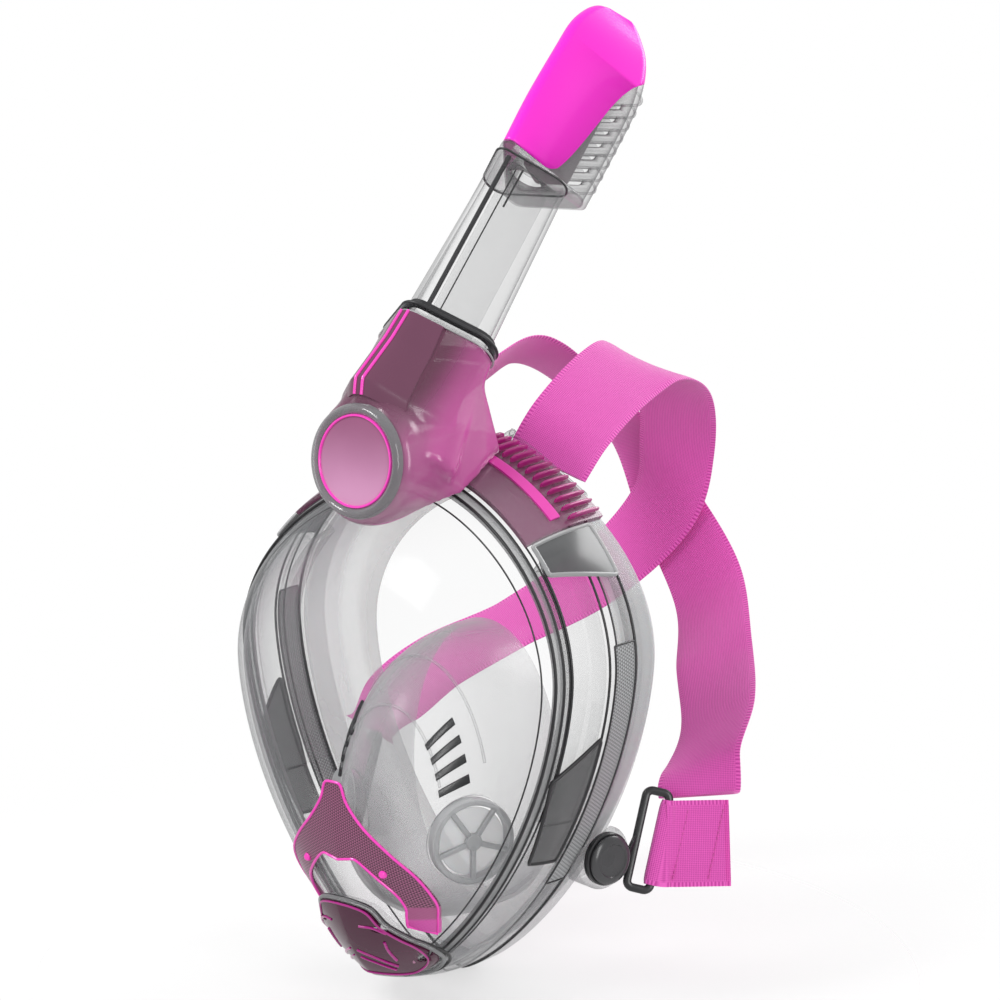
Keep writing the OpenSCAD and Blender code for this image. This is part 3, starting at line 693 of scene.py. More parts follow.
def comb_rib(p, side):
    """A bar of the comb, lying from rear to front at p degrees; side -1 mirrors it."""
    def at(q, k, t):
        return skin(q if side > 0 else 180 - q, k, t)
    line = [at(p + 0.65, k, -CROWN_OUT - 1.6) for k in np.linspace(0.02, 0.34, 9)]
    down = unit(at(p, 0.2, 0) - at(p, 0.2, -1))
    wide = np.cross(down, unit(line[-1] - line[0]))
    rows = []
    for j, centre in enumerate(line):
        size = 1.0 if 0 < j < len(line) - 1 else 0.6
        rows.append(squircle(centre, 0.85 * size * wide, 1.9 * size * down, 0.7, 16))
    return loft("rib", rows, False, 50)


dress(join([crown_half(1), crown_half(-1)], "crown_shell"), "crown_mauve", "crown_band")
_ribs = [comb_rib(p, side) for side in (1, -1) for p in np.linspace(RIB_P0, RIB_P1, RIBS)]
dress(join(_ribs, "crown_comb"), "crown_rib", "crown_ribs")
for _tag, _start, _end in (("left", 44, 75), ("right", 105, 136)):
    dress(patch("crown_strip_" + _tag, _start, _end, 0.40, 0.52, -CROWN_OUT - 0.9, -CROWN_OUT + 0.2, 40, 3),
        "crown_strip")

# ---- snorkel sections
SOCKET_G, BORE_G = 4.2, 0.35


def at_snorkel(points):
    p = np.asarray(points, float)
    c, s = math.cos(LEAN), math.sin(LEAN)
    x, y, z = np.moveaxis(p, -1, 0)
    return TUBE_FOOT + np.stack([x, c * y + s * z, c * z - s * y], -1)


def arc(c, r, a0, a1, n):
    a = np.radians(np.linspace(a0, a1, n + 1))
    return np.stack([c[0] + r * np.cos(a), c[1] + r * np.sin(a)], -1)


def section(w, y0, y1, z, g=0.0, rr=RIDGE_R, rc=CORNER_R, n=14):
    c = np.array([w / 2 - rc, y1 - rc])
    f = np.array([0, y0 + rr])
    d = c - f
    a = math.degrees(math.atan2(d[1], d[0]) - math.acos((rr - rc) / np.linalg.norm(d)))
    pts = np.concatenate([arc(f, rr + g, -180 - a, a, n), arc(c, rc + g, a, 90, n),
        arc((-c[0], c[1]), rc + g, 90, 180 - a, n)])
    return np.concatenate([pts, np.full((len(pts), 1), z)], 1)


def tube_section(z, g=0.0):
    return section(TUBE_W + (TOP_W - TUBE_W) * max(0, z) / TUBE_LEN, RIDGE_Y, BACK_Y, z, g)


def tube_wall(name, zs, g_out, g_in, smooth=30.0):
    outer = np.array([at_snorkel(tube_section(z, g_out)) for z in zs])
    inner = np.array([at_snorkel(tube_section(z, g_in)) for z in zs])
    return wall(name, outer, inner, True, False, smooth)


_zs = np.concatenate([[-TUBE_IN], np.linspace(0, TUBE_LEN, 10)])
dress(tube_wall("tube", _zs, 0, -TUBE_T), "tube_clear", "snorkel_tube", body="snorkel")
dress(box_mesh("divider", (-15.5, 2.4, -TUBE_IN + 2), (15.5, 3.6, TUBE_LEN - 4), snorkel_place(), 0.3),
    "divider_grey", "tube_divider", body="snorkel")
TUBE_LINES = (("ridge_line", 3.6, 3.0, 6, TUBE_LEN - 2, 1.15),
    ("ridge_line_thin", 7.0, 7.8, 8, TUBE_LEN - 6, 0.35), ("side_line", 8.6, 10.4, 72, TUBE_LEN - 4, 0.5))
for _name, _x, _in, _low, _high, _radius in TUBE_LINES:
    _line = at_snorkel([(_x, RIDGE_Y + _in, z) for z in np.linspace(_low, _high, 24)])
    dress(tube_along(_name, _line, _radius, 12), "moulded_line", body="snorkel")
dress(tube_wall("stop_ring", (5.2, 7.2), 1.6, 0.01), "seal_rubber", "tube_stop", body="snorkel")
dress(tube_wall("collar", np.linspace(0, 3, 4), SOCKET_G, BORE_G + 0.25), "frame_clear", "collar_rim")
dress(tube_wall("collar_seal", (3, 3.8, 4.6), SOCKET_G - 0.8, BORE_G), "seal_rubber", "socket_seal")
_lip = at_snorkel(tube_section(3.4, SOCKET_G - 0.3))
dress(tube_along("collar_lip", _lip, 0.9, 10, True), "seal_rubber")
_foot = at_snorkel(tube_section(-1.5, SOCKET_G + 0.1))
dress(tube_along("collar_foot", _foot, 0.5, 10, True), "bright_edge")

# ---- socket
def socket_shell():
    """The CAD's socket with its edges melted together, as in a thick clear moulding."""
    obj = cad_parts["snorkel_socket"].copy()
    obj.data = obj.data.copy()
    obj.name = "socket_shell"
    obj.parent = None
    scene.collection.objects.link(obj)
    modify(obj, "REMESH", mode="VOXEL", voxel_size=1.5 * MM)
    modify(obj, "SMOOTH", factor=0.5, iterations=26)
    shade(obj.data)
    return obj


dress(socket_shell(), "mauve_shell", "snorkel_socket")

SOCKET_ROWS = np.array([[-62, 14, 8, 6], [-44, 9, -5, 3], [-18, 2, -1, 1], [0, 0, 0, 0]], float)


def socket_front(x, z, lift):
    """A point on the socket's front at width x and height z, lifted off it."""
    w, y0, y1 = (np.interp(z, SOCKET_ROWS[:, 0], SOCKET_ROWS[:, i]) for i in (1, 2, 3))
    pts = section(TUBE_W + w, RIDGE_Y + y0, BACK_Y + y1, z, SOCKET_G + lift, n=24)
    front = pts[:25]
    tail = pts[25:34]
    xs = np.concatenate([-tail[::-1, 0], front[:, 0], tail[:, 0]])
    ys = np.concatenate([tail[::-1, 1], front[:, 1], tail[:, 1]])
    return [x, np.interp(x, xs, ys), z]


def front_panel(half_low, half_high, z0, z1, lift, sink):
    grids = []
    for amount in (lift, -sink):
        rows = []
        for z in np.linspace(z0, z1, 24):
            half = half_low + (half_high - half_low) * (z - z0) / (z1 - z0)
            rows.append([socket_front(x, z, amount) for x in np.linspace(-half, half, 17)])
        grids.append(at_snorkel(rows))
    return wall("front_panel", grids[0], grids[1])


dress(front_panel(19, 16, -50, -2, 0.6, 1.5), "mauve_panel")
# two hot pink lines along the socket's ridge: a painted ridge highlight
for _name, _x in (("ridge_highlight_left", -2), ("ridge_highlight_right", 2)):
    _line = at_snorkel([socket_front(_x, z, 0.7) for z in np.linspace(-50, -2, 24)])
    dress(tube_along(_name, _line, 0.75, 10), "hot_pink_line")

# ---- badge
BADGE_AT = place_mm((0, -87.5, 127.5), ("X", 85))
_r = BADGE_D / 2
dress(revolve("badge_rim", [[_r - 4, -1], [_r - 4, 0.8], [_r - 3.6, 1.2], [_r - 2.4, 2.3], [_r - 1.8, 2.6],
    [_r - 1.1, 2.45], [_r, 1.6], [_r + 0.6, 0.4], [_r + 1, -1]], 128, BADGE_AT, 40), "badge_rim",
    "badge_ring")
dress(revolve("badge_hot_ring", [[_r - 5.2, 0.6], [_r - 5.2, 1.3], [_r - 4.9, 1.7], [_r - 4.3, 1.7],
    [_r - 4.0, 1.3], [_r - 4.0, 0.6]], 128, BADGE_AT, 40), "hot_pink_line")
dress(revolve("badge_face", [[0, 1.35], [8, 1.3], [14, 1.2], [_r - 5.4, 1.0], [_r - 4.2, 0.7], [_r - 4.1,
    -1], [0, -1]], 128, BADGE_AT, 40), "badge_mauve", "badge_disc")

# ---- side parts, on both sides
DUCT_K0, DUCT_K1, DUCT_H = 0.40, 0.86, 11


def both(name, make, look, node=None, body="mask", slot=None):
    """A left piece and its mirror image; body may hold a side's name."""
    left = make()
    left.name = name + "_left"
    right = mirrored(left, name + "_right")
    for obj, tag in ((left, "left"), (right, "right")):
        nodes = [node + "_" + tag] if node else []
        dress(obj, look, *nodes, body=body.replace("SIDE", tag), slot=slot)


def outline(corners, t, n=24, pull=0.06):
    """A closed line just inside the corners of a quad patch."""
    edge = []
    for start, end in zip(corners, corners[1:] + corners[:1]):
        for s in np.linspace(pull, 1 - pull, n):
            edge.append(np.array(start) * (1 - s) + np.array(end) * s)
    edge = np.array(edge)
    return skin(edge[:, 0], edge[:, 1], t)


DUCT_Q = ((-30, DUCT_K0), (36, DUCT_K0), (36, DUCT_K1), (-30, DUCT_K1))


def duct_shell():
    """A duct of thin walls against the frame's inside, open towards it."""
    low, high = FRAME_T, FRAME_T + DUCT_H
    ring = ((DUCT_K0, low), (DUCT_K0, high - 2), (DUCT_K0 + 0.03, high), (DUCT_K1 - 0.03, high),
        (DUCT_K1, high - 2), (DUCT_K1, low), (DUCT_K1 - 0.04, low), (DUCT_K1 - 0.05, high - 3),
        (DUCT_K0 + 0.05, high - 3), (DUCT_K0 + 0.04, low))
    return loft("duct", [[skin(p, k, t) for k, t in ring] for p in np.linspace(-30, 36, 60)], False, 40)


both("duct", duct_shell, "duct_clear", "side_duct")
both("duct_line", lambda: tube_along("x", outline(DUCT_Q, -0.2), 0.6, 10, True), "moulded_line")
both("side_mesh", lambda: patch("x", -44, 7, 0.13, 0.34, -0.8, 0, 60, 8), "side_mesh", "side_trim")
both("side_mesh_edge", lambda: tube_along("x", outline(((-44, 0.13), (7, 0.13), (7, 0.34), (-44, 0.34)),
    -0.8, 24, 0.02), 0.5, 10, True), "moulded_line", slot="grey_clear")
WINDOW_Q = ((-38, 0.42), (-14, 0.42), (-21, 0.93), (-38, 0.78))
both("window", lambda: quad_patch("x", WINDOW_Q, -1.6, 0, 24), "smoke_window", "duct_window")
both("window_gasket", lambda: tube_along("x", outline(WINDOW_Q, -1.3, 24, 0.03), 0.9, 12, True),
    "seal_rubber")
BLOCK_Q = ((25, 0.14), (CROWN_P - 1, 0.14), (CROWN_P - 1, 0.84), (31, 0.84))
both("block", lambda: quad_patch("x", BLOCK_Q, -2.2, 0, 24), "block_grey", "duct_block")
both("block_rim", lambda: tube_along("x", outline(BLOCK_Q, -1.9, 24, 0.03), 1.1, 12, True), "bright_edge")

# ---- mouth cup and its valves
CUP_W, CUP_TOP, CUP_BOTTOM, CUP_MID, CUP_FRONT, CUP_T, CUP_N = 45, 40, -100, -36, 86, 1.6, 2.5
INHALE_D = 40.0
VALVE = np.array([39.5, -55, -48])


def cup_at(p, f, t):
    p, f = np.radians(np.asarray(p, float)), np.radians(np.asarray(f, float))
    r = np.cos(f) ** (2 / CUP_N)
    s = np.sin(p)
    z = CUP_MID + np.where(s >= 0, CUP_TOP - CUP_MID - t, CUP_MID - CUP_BOTTOM - t) * s
    pole = CUP_MID - 12
    return np.stack(np.broadcast_arrays((CUP_W - t) * np.cos(p) * r,
        6 - (CUP_FRONT - t) * np.sin(f) ** (2 / CUP_N), pole + (z - pole) * r), -1)


def valve_place(side):
    return place_mm(VALVE * (side, 1, 1), ("Z", -30 if side > 0 else 210), ("Y", 90))


_p = np.linspace(0, 360, 160, endpoint=False)[None]
_f = np.linspace(0, 84, 40)[:, None]
_cup = wall("cup", cup_at(_p, _f, 0), cup_at(_p, _f, CUP_T), True, True, 40)
for _side in (1, -1):
    _hole = revolve("hole", [[0, -14], [INHALE_D / 2 + 0.3, -14], [INHALE_D / 2 + 0.3, 10], [0, 10]], 64,
        valve_place(_side))
    cut(_cup, _hole)
dress(_cup, "cup_silicone", "oronasal_cup")
for _name, _deg in (("cup_fold_top", 30), ("cup_fold_low", 52)):
    _line = cup_at(np.linspace(20, 160, 60), _deg, -0.3)
    dress(tube_along(_name, _line, 0.7, 10), "cup_silicone")
def valve_frame(side, name):
    """A valve's seat: a rim, a hub and five spokes."""
    at = valve_place(side)
    parts = [revolve("rim", [[17, -4], [17, 1.4], [17.6, 2], [19.4, 2], [20, 1.4], [20, -4]], 96, at),
        revolve("hub", [[0, 0], [3.6, 0], [4, 0.4], [4, 1.8], [3.4, 2.3], [0, 2.5]], 48, at)]
    for i in range(5):
        spoke = at @ place_mm((0, 0, 0), ("Z", 72 * i))
        parts.append(box_mesh("spoke", (3.5, -1.2, 0), (18, 1.2, 2), spoke, 0.5))
    return join(parts, name)


for _side, _tag in ((1, "left"), (-1, "right")):
    dress(valve_frame(_side, "valve_frame_" + _tag), "valve_seat", "valve_seat_" + _tag)
    dress(revolve("inhale_disc_" + _tag, [[0, -1.3], [12, -1.35], [15.7, -1.4], [16, -1.1], [15.7, -0.8],
        [12, -0.55], [0, -0.5]], 96, valve_place(_side)), "valve_silicone", "inhale_flap_" + _tag,
        body="flap_" + _tag)


def louvre_bar(start):
    """A bar on the cup's cheek, 4 degrees wide."""
    rows = []
    for f in np.linspace(38, 53, 12):
        a, b, c, d = (cup_at(p, f, t) for t in (0, -1.6) for p in (start, start + 4))
        rows.append(squircle((a + b + c + d) / 4, (b - a) / 2, (c + d - a - b) / 4, 0.5, 20))
    return loft("bar", rows, False, 50)


_bars = [louvre_bar(15 + 9 * i) for i in range(4)]
_bars += [mirrored(bar, "bar") for bar in list(_bars)]
dress(join(_bars, "louvre_bars"), "moulded_line", "cheek_louvres", slot="grey_clear")


# ---- nose trim and chin, laid on the visor
def resample(points, n):
    q = spline(points, 12)
    d = np.concatenate([[0], np.cumsum(np.linalg.norm(np.diff(q, axis=0), axis=1))])
    s = np.linspace(0, d[-1], n)
    return np.stack([np.interp(s, d, q[:, i]) for i in range(q.shape[1])], -1)


OUTER = resample([(0, -15), (4.5, -16), (7.5, -24), (15, -34), (27, -46), (36, -57), (39, -70), (36, -80),
    (32, -89)], 70)
INNER = resample([(0, -52), (5, -51), (10, -51), (18, -58), (25, -66), (27, -73), (25.5, -79),
    (24, -84)], 70)


def leg():
    """Half of the trim: from the middle of the visor down one leg."""
    share = np.linspace(0, 1, 15)[:, None, None]
    x, z = np.moveaxis(OUTER[None] * (1 - share) + INNER[None] * share, -1, 0)
    top = on_visor(x, z, -1.5)
    top[..., 1] -= 0.3 * np.sin(np.pi * share[..., 0])
    return wall("leg", top, on_visor(x, z, -0.1))


_leg = leg()
dress(join([_leg, mirrored(_leg, "leg2")], "wishbone"), "trim_pink", "nose_trim")
_edge = np.concatenate([OUTER, INNER[::-1]])
_bead = tube_along("bead", on_visor(_edge[:, 0], _edge[:, 1], -1.5), 0.65, 10)
dress(join([_bead, mirrored(_bead, "bead2")], "wishbone_edge"), "hot_pink_line")


def peg(side):
    return revolve("peg", [[0, 0], [2, 0], [2, 2.2], [1.5, 3.0], [0, 3.3]], 40,
        place_mm(on_visor(side * 22, -56), ("X", 90)))


dress(join([peg(1), peg(-1)], "pegs"), "hot_pink_line", "trim_pegs")

COVER_MID = np.array([0, -93])
COVER_LIFT = 6.6
_half = resample([(0, -70), (8, -71), (15, -74), (19, -82), (25, -89), (29.5, -95), (29.5, -103), (24, -110),
    (16, -114), (0, -113)], 64)
COVER = np.concatenate([_half, _half[-2:0:-1] * (-1, 1)])


def inset(share):
    """The chin's outline, shrunk about its middle."""
    return (COVER - COVER_MID) * share + COVER_MID


def plate(name, boundary, t_out, t_in, rings=16, crown=0.0):
    """A plate over the visor with a given outline, seen from the front."""
    share = np.linspace(0, 1, rings)[1:, None, None]
    x, z = np.moveaxis(COVER_MID * (1 - share) + boundary[None] * share, -1, 0)
    top = on_visor(x, z, t_out)
    top[..., 1] -= crown * (1 - share[..., 0] ** 4)
    return wall(name, top[::-1], on_visor(x, z, t_in)[::-1], True, True)


def drill(radius, low, high, place):
    """A round tool for a hole, from low to high along its placement's axis."""
    return revolve("tool", [[0, low], [radius, low], [radius, high], [0, high]], 64, place)


def slot_tool(x, z, w, h, turn):
    return box_mesh("tool", (-w / 2, -8, -h / 2), (w / 2, 12, h / 2),
        place_mm(on_visor(x, z), ("X", 34), ("Y", turn)), min(w, h) * 0.45, 6)


def cover_bead(x, z, t, radius, closed=False):
    return tube_along("bead", on_visor(x, z, t), radius, 8, closed)


DRAIN_AT = place_mm((0, -87.1, -93.6), ("X", 124))
_shell = plate("chin_shell", COVER, -4.2, -0.1)
cut(_shell, drill(13, 0, 60, place_mm((0, -60, -95), ("X", 90))))
dress(_shell, "frame_clear", "chin_housing")
_plate = plate("chin_plate", inset(0.93), -COVER_LIFT, -4.4, 20, 0.4)
cut(_plate, drill(10, -3, 2.75, DRAIN_AT))
for _side in (-1, 1):
    cut(_plate, slot_tool(_side * 14, -80, 12, 3.8, _side * 18))
    cut(_plate, slot_tool(_side * 23, -97, 10, 9, _side * 20))
dress(_plate, "chin_magenta", "chin_cover")

COVER_LINES = (([(8, -83), (14, -83.4), (19, -86)], 0.6), ([(2, -97), (9, -101), (15, -106)], 0.6),
    ([(2, -101), (8, -104.5), (13, -108.5)], 0.5), ([(16.5, -91), (16, -96), (16.5, -102)], 0.7))
_beads = []
for _side in (-1, 1):
    for _points, _radius in COVER_LINES:
        _line = spline(_points, 8)
        _beads.append(cover_bead(_side * _line[:, 0], _line[:, 1], -COVER_LIFT - 0.35, _radius))
_beads.append(cover_bead(*inset(0.90).T, -COVER_LIFT - 0.1, 0.55, True))
dress(join(_beads, "chin_lines"), "chin_pink_line")
_lugs = [box_mesh("lug", (-1.1, -7.6, -4.2), (1.1, -4.2, 4.2), place_mm(on_visor(side * 21, -97), ("X", 34),
    ("Y", side * 6)), 0.7, 4) for side in (-1, 1)]
dress(join(_lugs, "chin_lugs"), "chin_lug")
dress(tube_along("chin_shell_rim", on_visor(*inset(0.985).T, -5.2), 1.0, 10, True), "rim_band",
    slot="clear_lens")
dress(tube_along("chin_edge", on_visor(*COVER.T, -4.2), 0.8, 10, True), "moulded_line")
dress(revolve("drain_disc", [[0, 0], [8.7, 0], [9, 0.3], [8.8, 0.6], [4, 0.8], [0, 0.85]], 72, DRAIN_AT),
    "valve_silicone", "chin_flap", body="drain_flap")

# ---- swivels and buckles
POST_R, RING_R = 8.0, 12.5


def boss_place():
    return place_mm((66, 0, -62), ("Z", -15), ("Y", 90))


def buckle_place():
    return place_mm((86, 19, -57), ("X", -22), ("Z", 35))


for _tag in ("left", "right"):
    paint(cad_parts["swivel_boss_" + _tag], "rear_ring_clear")
both("hub", lambda: revolve("x", [[0, 14.2], [11.0, 14.2], [11.5, 14.6], [11.5, 15.6], [10.9, 16.3], [9,
    17.2], [8, 17.2], [7.5, 16.6], [6, 16.5], [3, 16.7], [0, 16.8]], 96, boss_place()), "hub_plastic",
    "hub_cap")


def buckle_arm():
    """The arm from the swivel's ring to the buckle's loop."""
    start = boss_place() @ (Vector((1, 12.5, 12.2)) * MM)
    end = buckle_place() @ (Vector((-6.5, 0, -6)) * MM)
    thin, broad = np.array([0.88, -0.42, 0]), np.array([0.1, 0.25, 0.96])
    rows = []
    for s in np.linspace(0, 1, 14):
        centre = np.array(start.lerp(end, s)) / MM
        rows.append(squircle(centre, (1.5 + 0.3 * s) * thin, (4.5 + 4.3 * s) * broad, 0.6, 24))
    return loft("arm", rows, False, 50)


def buckle_loop():
    """The oblong loop that holds the webbing."""
    length, wide, corner = WEB_W + 6, 11, 3.0
    ends = []
    for x, z, start in ((1, 1, 0), (-1, 1, 90), (-1, -1, 180), (1, -1, 270)):
        middle = (x * (wide / 2 - corner), z * (length / 2 - corner))
        ends += list(arc(middle, corner, start, start + 90, 6))
    loop = []
    for start, end in zip(ends, ends[1:] + ends[:1]):
        steps = 6 if np.linalg.norm(end - start) > 3 else 1
        loop += [start + (end - start) * s / steps for s in range(steps)]
    loop = np.array(loop)
    rows = []
    for (x, z), (dx, dz) in zip(loop, unit(np.roll(loop, -1, 0) - np.roll(loop, 1, 0))):
        rows.append(squircle((x, 0, z), np.array([2 * dz, 0, -2 * dx]), np.array([0, 2.3, 0]), 0.55, 16))
    obj = loft("loop", rows, True, 50)
    obj.data.transform(buckle_place())
    return obj


def buckle_frame():
    inner = POST_R + 0.1
    ring = revolve("ring", [[inner, 10.5], [inner, 13.9], [RING_R - 0.5, 13.9], [RING_R, 13.4],
        [RING_R, 11.0], [RING_R - 0.5, 10.5]], 96, boss_place())
    return join([ring, buckle_arm(), buckle_loop()], "x")


both("clip", buckle_frame, "black_plastic", "buckle", body="clip_SIDE")


# ---- webbing
def ribbon(name, centre, across):
    """Webbing along centre points, with across giving the way its width runs; carries a weave map in mm."""
    c = np.asarray(centre, float)
    run = unit(np.gradient(c, axis=0))
    w = unit(across - run * np.sum(run * across, 1, keepdims=True))
    n = np.cross(run, w)
    u = np.linspace(-0.5, 0.5, 21)
    half = WEB_T / 2 * np.clip((1 - np.abs(2 * u) ** 14), 0.28, 1)
    profile = np.concatenate([np.stack([u, half], 1), np.stack([u, -half], 1)[::-1]])
    dist = np.concatenate([[0], np.cumsum(np.linalg.norm(np.diff(c, axis=0), axis=1))])
    rows = c[:, None] + profile[None, :, :1] * WEB_W * w[:, None] + profile[None, :, 1:] * n[:, None]
    obj = loft(name, rows, False, 40)
    layer = obj.data.uv_layers.new(name="weave")
    for poly in obj.data.polygons:
        for loop_i in poly.loop_indices:
            j, i = divmod(obj.data.loops[loop_i].vertex_index, len(profile))
            layer.data[loop_i].uv = (profile[i][0] * WEB_W, dist[j])
    return obj


# each row: a point on the webbing's middle line, then the way its width runs there
STRAP = (
    ((34, 9.5, 117), (0.80, 0.10, -0.56)), ((36, 26, 134), (0.76, 0.44, -0.48)),
    ((36, 58, 151), (0.68, 0.60, -0.42)), ((34, 88, 156), (0.66, 0.64, -0.40)),
    ((29, 122, 140), (0.74, 0.56, -0.36)), ((15, 148, 108), (0.80, 0.42, -0.42)),
    ((0, 158, 72), (0.85, 0.00, -0.53)), ((-32, 147, 35), (0.66, -0.40, -0.64)),
    ((-62, 112, 10), (0.50, -0.70, -0.50)), ((-86, 78, -8), (0.55, -0.60, -0.58)),
    ((-95, 51, -25), (0.40, -0.66, -0.64)), ((-100, 40, -38), (0.30, -0.60, -0.70)))
CROSS_GAP = 5.0


def strap_piece(name, mirror, node):
    """A strap from the rear frame to a buckle."""
    centre, across = np.moveaxis(np.array(STRAP, float), 1, 0)
    if mirror:
        centre[5:8, 1] += CROSS_GAP
    flip = (-1, 1, 1) if mirror else (1, 1, 1)
    c, w = spline(centre, 14, True) * flip, spline(across, 14, True) * flip
    obj = ribbon(name, c, w)
    paint(obj, "pink_webbing")
    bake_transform(obj)
    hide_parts(node)

def strap_anchor():
    """The loop on the rear frame that a strap's upper end is sewn round."""
    c, w = np.array(STRAP[0][0], float), unit(np.array(STRAP[0][1], float)) * (WEB_W / 2 + 2.5)
    a, b = c - w, c + w
    return tube_along("x", spline([a - (0, 13, 3), a - (0, 5, 1), a, a + w * 0.15, b - w * 0.15, b,
        b - (0, 5, -1), b - (0, 13, -2)], 8), 1.9, 12)


both("strap_anchor", strap_anchor, "rear_ring_clear")
strap_piece("web_a", False, "strap_a")
strap_piece("web_b", True, "strap_b")
dress(box_mesh("cross_pad", (-5, 159.6, 67), (5, 160.6, 77), None, 0.35), "stitching", "cross_patch")


def tail():
    """The folded webbing end round the buckle's loop."""
    path = spline([(37.5, 1.15), (26, 1.25), (14, 1.6), (9.5, 2.8), (6, 3.5), (3.2, 2.6), (2.6, 0),
        (3.2, -2.6), (6, -3.5), (9.5, -2.8), (14, -1.5), (26, -1.2), (35, -1.15)], 8)
    centre = np.array([[x, y, 0.25 * max(0, x - 8)] for x, y in path])
    obj = ribbon("x", centre, np.array([[0, 0, 1.0]] * len(centre)))
    obj.data.transform(buckle_place())
    return obj


both("web_tail", tail, "pink_webbing", "strap_tail", body="clip_SIDE")


def stitches():
    parts = []
    for x in (15, 31):
        for z in 0.25 * (x - 8) + np.arange(-16, 16.1, 2.6):
            for y in (2.15, -2.15):
                p = np.array([[x, y, z - 0.9], [x, y + 0.12 * np.sign(y), z], [x, y, z + 0.9]])
                parts.append(tube_along("st", spline(p, 3), 0.32, 6))
    out = join(parts, "x")
    out.data.transform(buckle_place())
    return out


both("tail_stitch", stitches, "stitching", body="clip_SIDE")

# ---- dry top
DOME = np.array([[0, 1, 0, 0], [30, 1.02, -1, 0], [62, 1, 0, 0], [80, 0.92, 1, 2], [92, 0.8, 5, 6],
    [100, 0.62, 10, 11], [104, 0.5, 15, 15]], float)
BASE_Z = TUBE_LEN + SEAT_H


def dome_grid(g):
    return np.array([at_snorkel(section(TOP_W * q[1] - 2 * g, RIDGE_Y + q[2] + g, VENT_Y - q[3] - g,
        BASE_Z + q[0] * (DROPTOP_H - g) / 106, 0, 4, 6, 12)) for q in resample(DOME, 46)])


def dome_shell(name, out, inn):
    return wall(name, dome_grid(out), dome_grid(inn), True, True)


CUT = ((-4, 1), (0, 3), (2, 7), (4.5, 18), (8, 40), (10, 52), (13, 63), (17, 71), (24, 78), (34, 80.5),
    (60, 82))


def cap_tool():
    """The block above the line where the cap ends and the chamber begins."""
    line = np.concatenate([[(-60, 1)], resample(CUT, 40), [(60, 150), (-60, 150)]])
    rows = [at_snorkel([(x, y, BASE_Z + z) for y, z in line]) for x in (-50, 50)]
    return loft("tool", rows)


def chamber_rib(z):
    """A thin line round the back of the chamber."""
    ring = section(TOP_W - 0.6, RIDGE_Y, VENT_Y - 0.4, z, 0.5, 4, 6, 10)
    ring = ring[ring[:, 1] > 14]
    ring = ring[np.argsort(np.arctan2(ring[:, 1] - 5, ring[:, 0]))]
    return tube_along("rib", at_snorkel(ring), 0.7, 8)


def seat_shell():
    rows = []
    for s in np.linspace(0, 1, 8):
        back_y = BACK_Y + (VENT_Y - 1 - BACK_Y) * s
        rows.append(at_snorkel(section(TOP_W, RIDGE_Y, back_y, TUBE_LEN + SEAT_H * s, rc=CORNER_R + s)))
    seat = loft("seat", rows)
    cut(seat, drill(9, -2, SEAT_H + 3, snorkel_place() @ place_mm((0, 1, TUBE_LEN))))
    return seat


VENT_STEP = 8
_cap = dome_shell("cap", 0.0, 1.8)
cut(_cap, cap_tool(), "INTERSECT")
dress(_cap, "cap_pink", "drytop_cap", body="snorkel")
_chamber = dome_shell("chamber", 0.05, 1.8)
cut(_chamber, cap_tool())
for _z in BASE_Z + 14 + VENT_STEP * np.arange(7):
    _low, _high = (-11, VENT_Y - 8, _z), (11, VENT_Y + 6, _z + 3.4)
    cut(_chamber, box_mesh("tool", _low, _high, snorkel_place(), 1.2, 4))
dress(_chamber, "chamber_clear", "drytop_chamber", body="snorkel")
_slats = []
for _z in BASE_Z + 19 + VENT_STEP * np.arange(6):
    _low, _high = (-12, VENT_Y - 6.4, _z), (12, VENT_Y - 4.2, _z + 1.2)
    _slats.append(box_mesh("vent", _low, _high, snorkel_place(), 0.4))
dress(join(_slats, "vent_slats"), "divider_grey", "drytop_vents", body="snorkel", slot="clear_lens")
_ribs = [chamber_rib(BASE_Z + 10.5 + i * VENT_STEP) for i in range(8)]
dress(join(_ribs, "chamber_ribs"), "chamber_clear", body="snorkel")
dress(seat_shell(), "chamber_clear", "drytop_seat", body="snorkel")
dress(tube_along("seat_line", at_snorkel(tube_section(TUBE_LEN, 0.25)), 0.55, 10, True), "moulded_line",
    body="snorkel")
FLOAT_Z, FLOAT_H = TUBE_LEN + SEAT_H + 8, 44
dress(box_mesh("float_block", (-10, 3, FLOAT_Z), (10, 19, FLOAT_Z + FLOAT_H), snorkel_place(), 2.5, 5),
    "float_grey", "float", body="float")
dress(revolve("float_pad", [[0, 0.05], [7.5, 0.05], [7.75, 0.3], [7.75, 1.6], [7.3, 2.0], [0, 2.0]], 64,
    snorkel_place() @ place_mm((0, 11, FLOAT_Z + FLOAT_H))), "seal_rubber", "float_seal", body="float")
paint(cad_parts["float_port"], "divider_grey")
paint(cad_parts["release_tab"], "black_plastic")

# ---- floor, light and camera
low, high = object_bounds()
floor_z = low[2] - 0.001


def floor():
    """A round sheet of white paper that fades out, so that only the shadow near the mask shows."""
    rows = [[(r * math.cos(a), r * math.sin(a), floor_z / MM) for a in circle(96)]
        for r in (1, 200, 400, 800, 1600, 3200)]
    obj = add_mesh("floor", np.reshape(rows, (-1, 3)), grid_faces(6, 96, True) + [tuple(range(96))], None)
    if obj.data.polygons[0].normal.z < 0:
        obj.data.flip_normals()
    paper = Finish("floor_paper", (0.93, 0.93, 0.93), 0.9, spec=0.1)
    away = paper.add("ShaderNodeVectorMath", operation="LENGTH")
    paper.link(paper.place(), away.inputs[0])
    paper.show_by(paper.remap(away.outputs["Value"], 0.09, 0.42, 0.5, 0, True))
    obj.data.materials.append(paper.mat)
    return obj


floor()


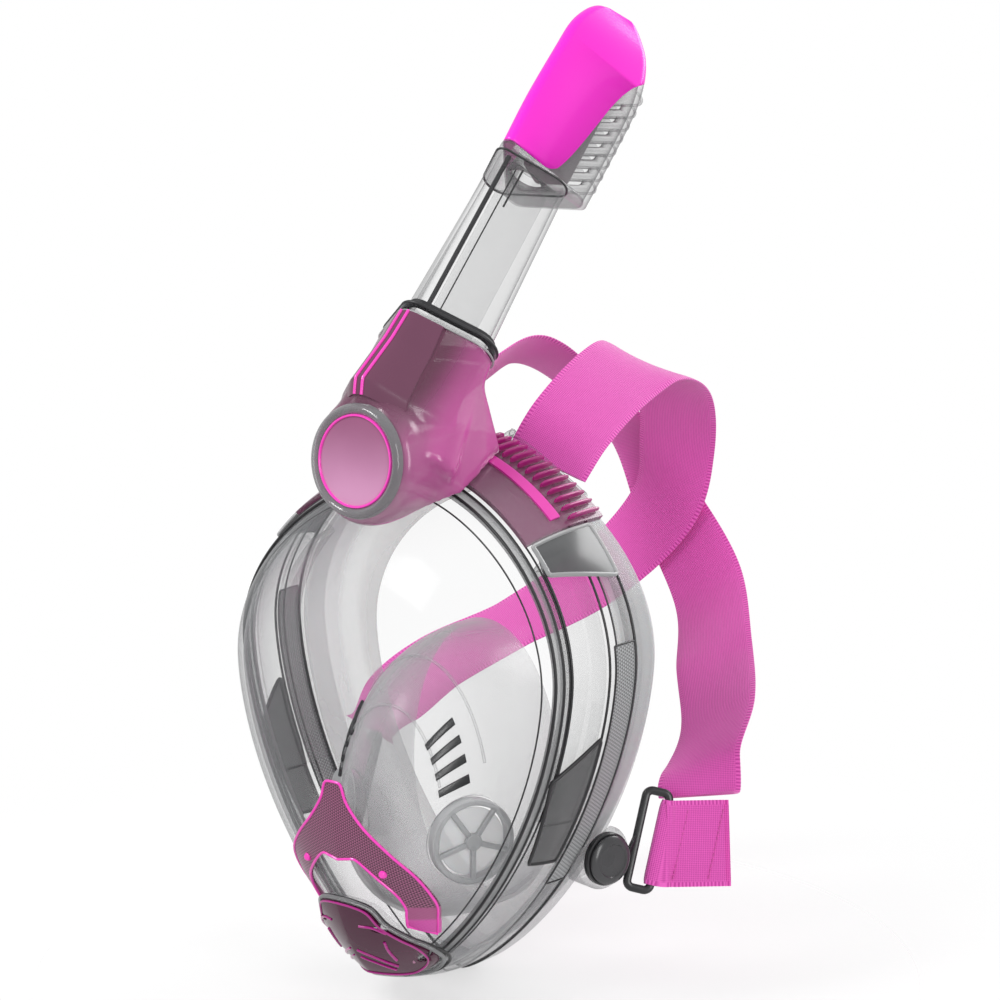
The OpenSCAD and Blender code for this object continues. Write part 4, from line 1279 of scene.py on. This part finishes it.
def backdrop():
    """A plain white dome far round the scene, which only the camera sees."""
    rows = [[(9000 * math.cos(b) * math.cos(a), 9000 * math.cos(b) * math.sin(a), 9000 * math.sin(b))
        for a in circle(48)] for b in np.radians(np.linspace(-85, 85, 24))]
    caps = [tuple(range(48)), tuple(range(23 * 48, 24 * 48))]
    obj = add_mesh("backdrop", np.reshape(rows, (-1, 3)), grid_faces(24, 48, True) + caps, None)
    paper = bpy.data.materials.new("backdrop_paper")
    paper.use_nodes = True
    paper.node_tree.nodes.clear()
    glow = paper.node_tree.nodes.new("ShaderNodeEmission")
    end = paper.node_tree.nodes.new("ShaderNodeOutputMaterial")
    paper.node_tree.links.new(glow.outputs[0], end.inputs[0])
    obj.data.materials.append(paper)
    for flag in ("visible_diffuse", "visible_glossy", "visible_transmission", "visible_shadow",
            "visible_volume_scatter"):
        setattr(obj, flag, False)
    return obj


backdrop()

world = bpy.data.worlds.new("studio")
scene.world = world
world.use_nodes = True
world.node_tree.nodes["Background"].inputs[0].default_value = (1, 1, 1, 1)
world.node_tree.nodes["Background"].inputs[1].default_value = 0.62


def softbox(name, at, aim, size, power, size_y=None):
    light = bpy.data.lights.new(name, "AREA")
    light.shape = "RECTANGLE"
    light.size, light.size_y = size, size_y or size
    light.energy = power
    obj = link(name, light)
    obj.location = at
    obj.rotation_euler = (Vector(aim) - Vector(at)).to_track_quat("-Z", "Y").to_euler()


softbox("key", (-0.6, -1.1, 1.3), (0, 0.02, 0.05), 0.6, 17)
softbox("fill", (1.5, -0.7, 0.5), (0, 0.02, 0.05), 0.5, 10, 1.2)
softbox("back", (0.5, 1.4, 0.9), (0, 0.05, 0.1), 0.9, 13)

# the camera stands DIST from the origin, shifted sideways to centre the object, and sees VIEW_W there
AZ, EL, DIST, VIEW_W = math.radians(37), math.radians(10), 1.3, 0.47619
SHIFT_RIGHT, SHIFT_UP, SENSOR = 0.011, 0.0962, 36
back = Vector((math.sin(AZ) * math.cos(EL), -math.cos(AZ) * math.cos(EL), math.sin(EL)))
right = Vector((math.cos(AZ), math.sin(AZ), 0))
up = back.cross(right)
camera_data = bpy.data.cameras.new("camera")
camera_data.sensor_width = SENSOR
camera_data.lens = SENSOR * DIST / VIEW_W
camera = link("camera", camera_data)
camera.location = DIST * back + SHIFT_RIGHT * right + SHIFT_UP * up
camera.rotation_euler = Matrix((right, up, back)).transposed().to_euler()
scene.camera = camera
scene.view_settings.view_transform = "Standard"
scene.cycles.transparent_max_bounces = 64
scene.cycles.max_bounces = 12
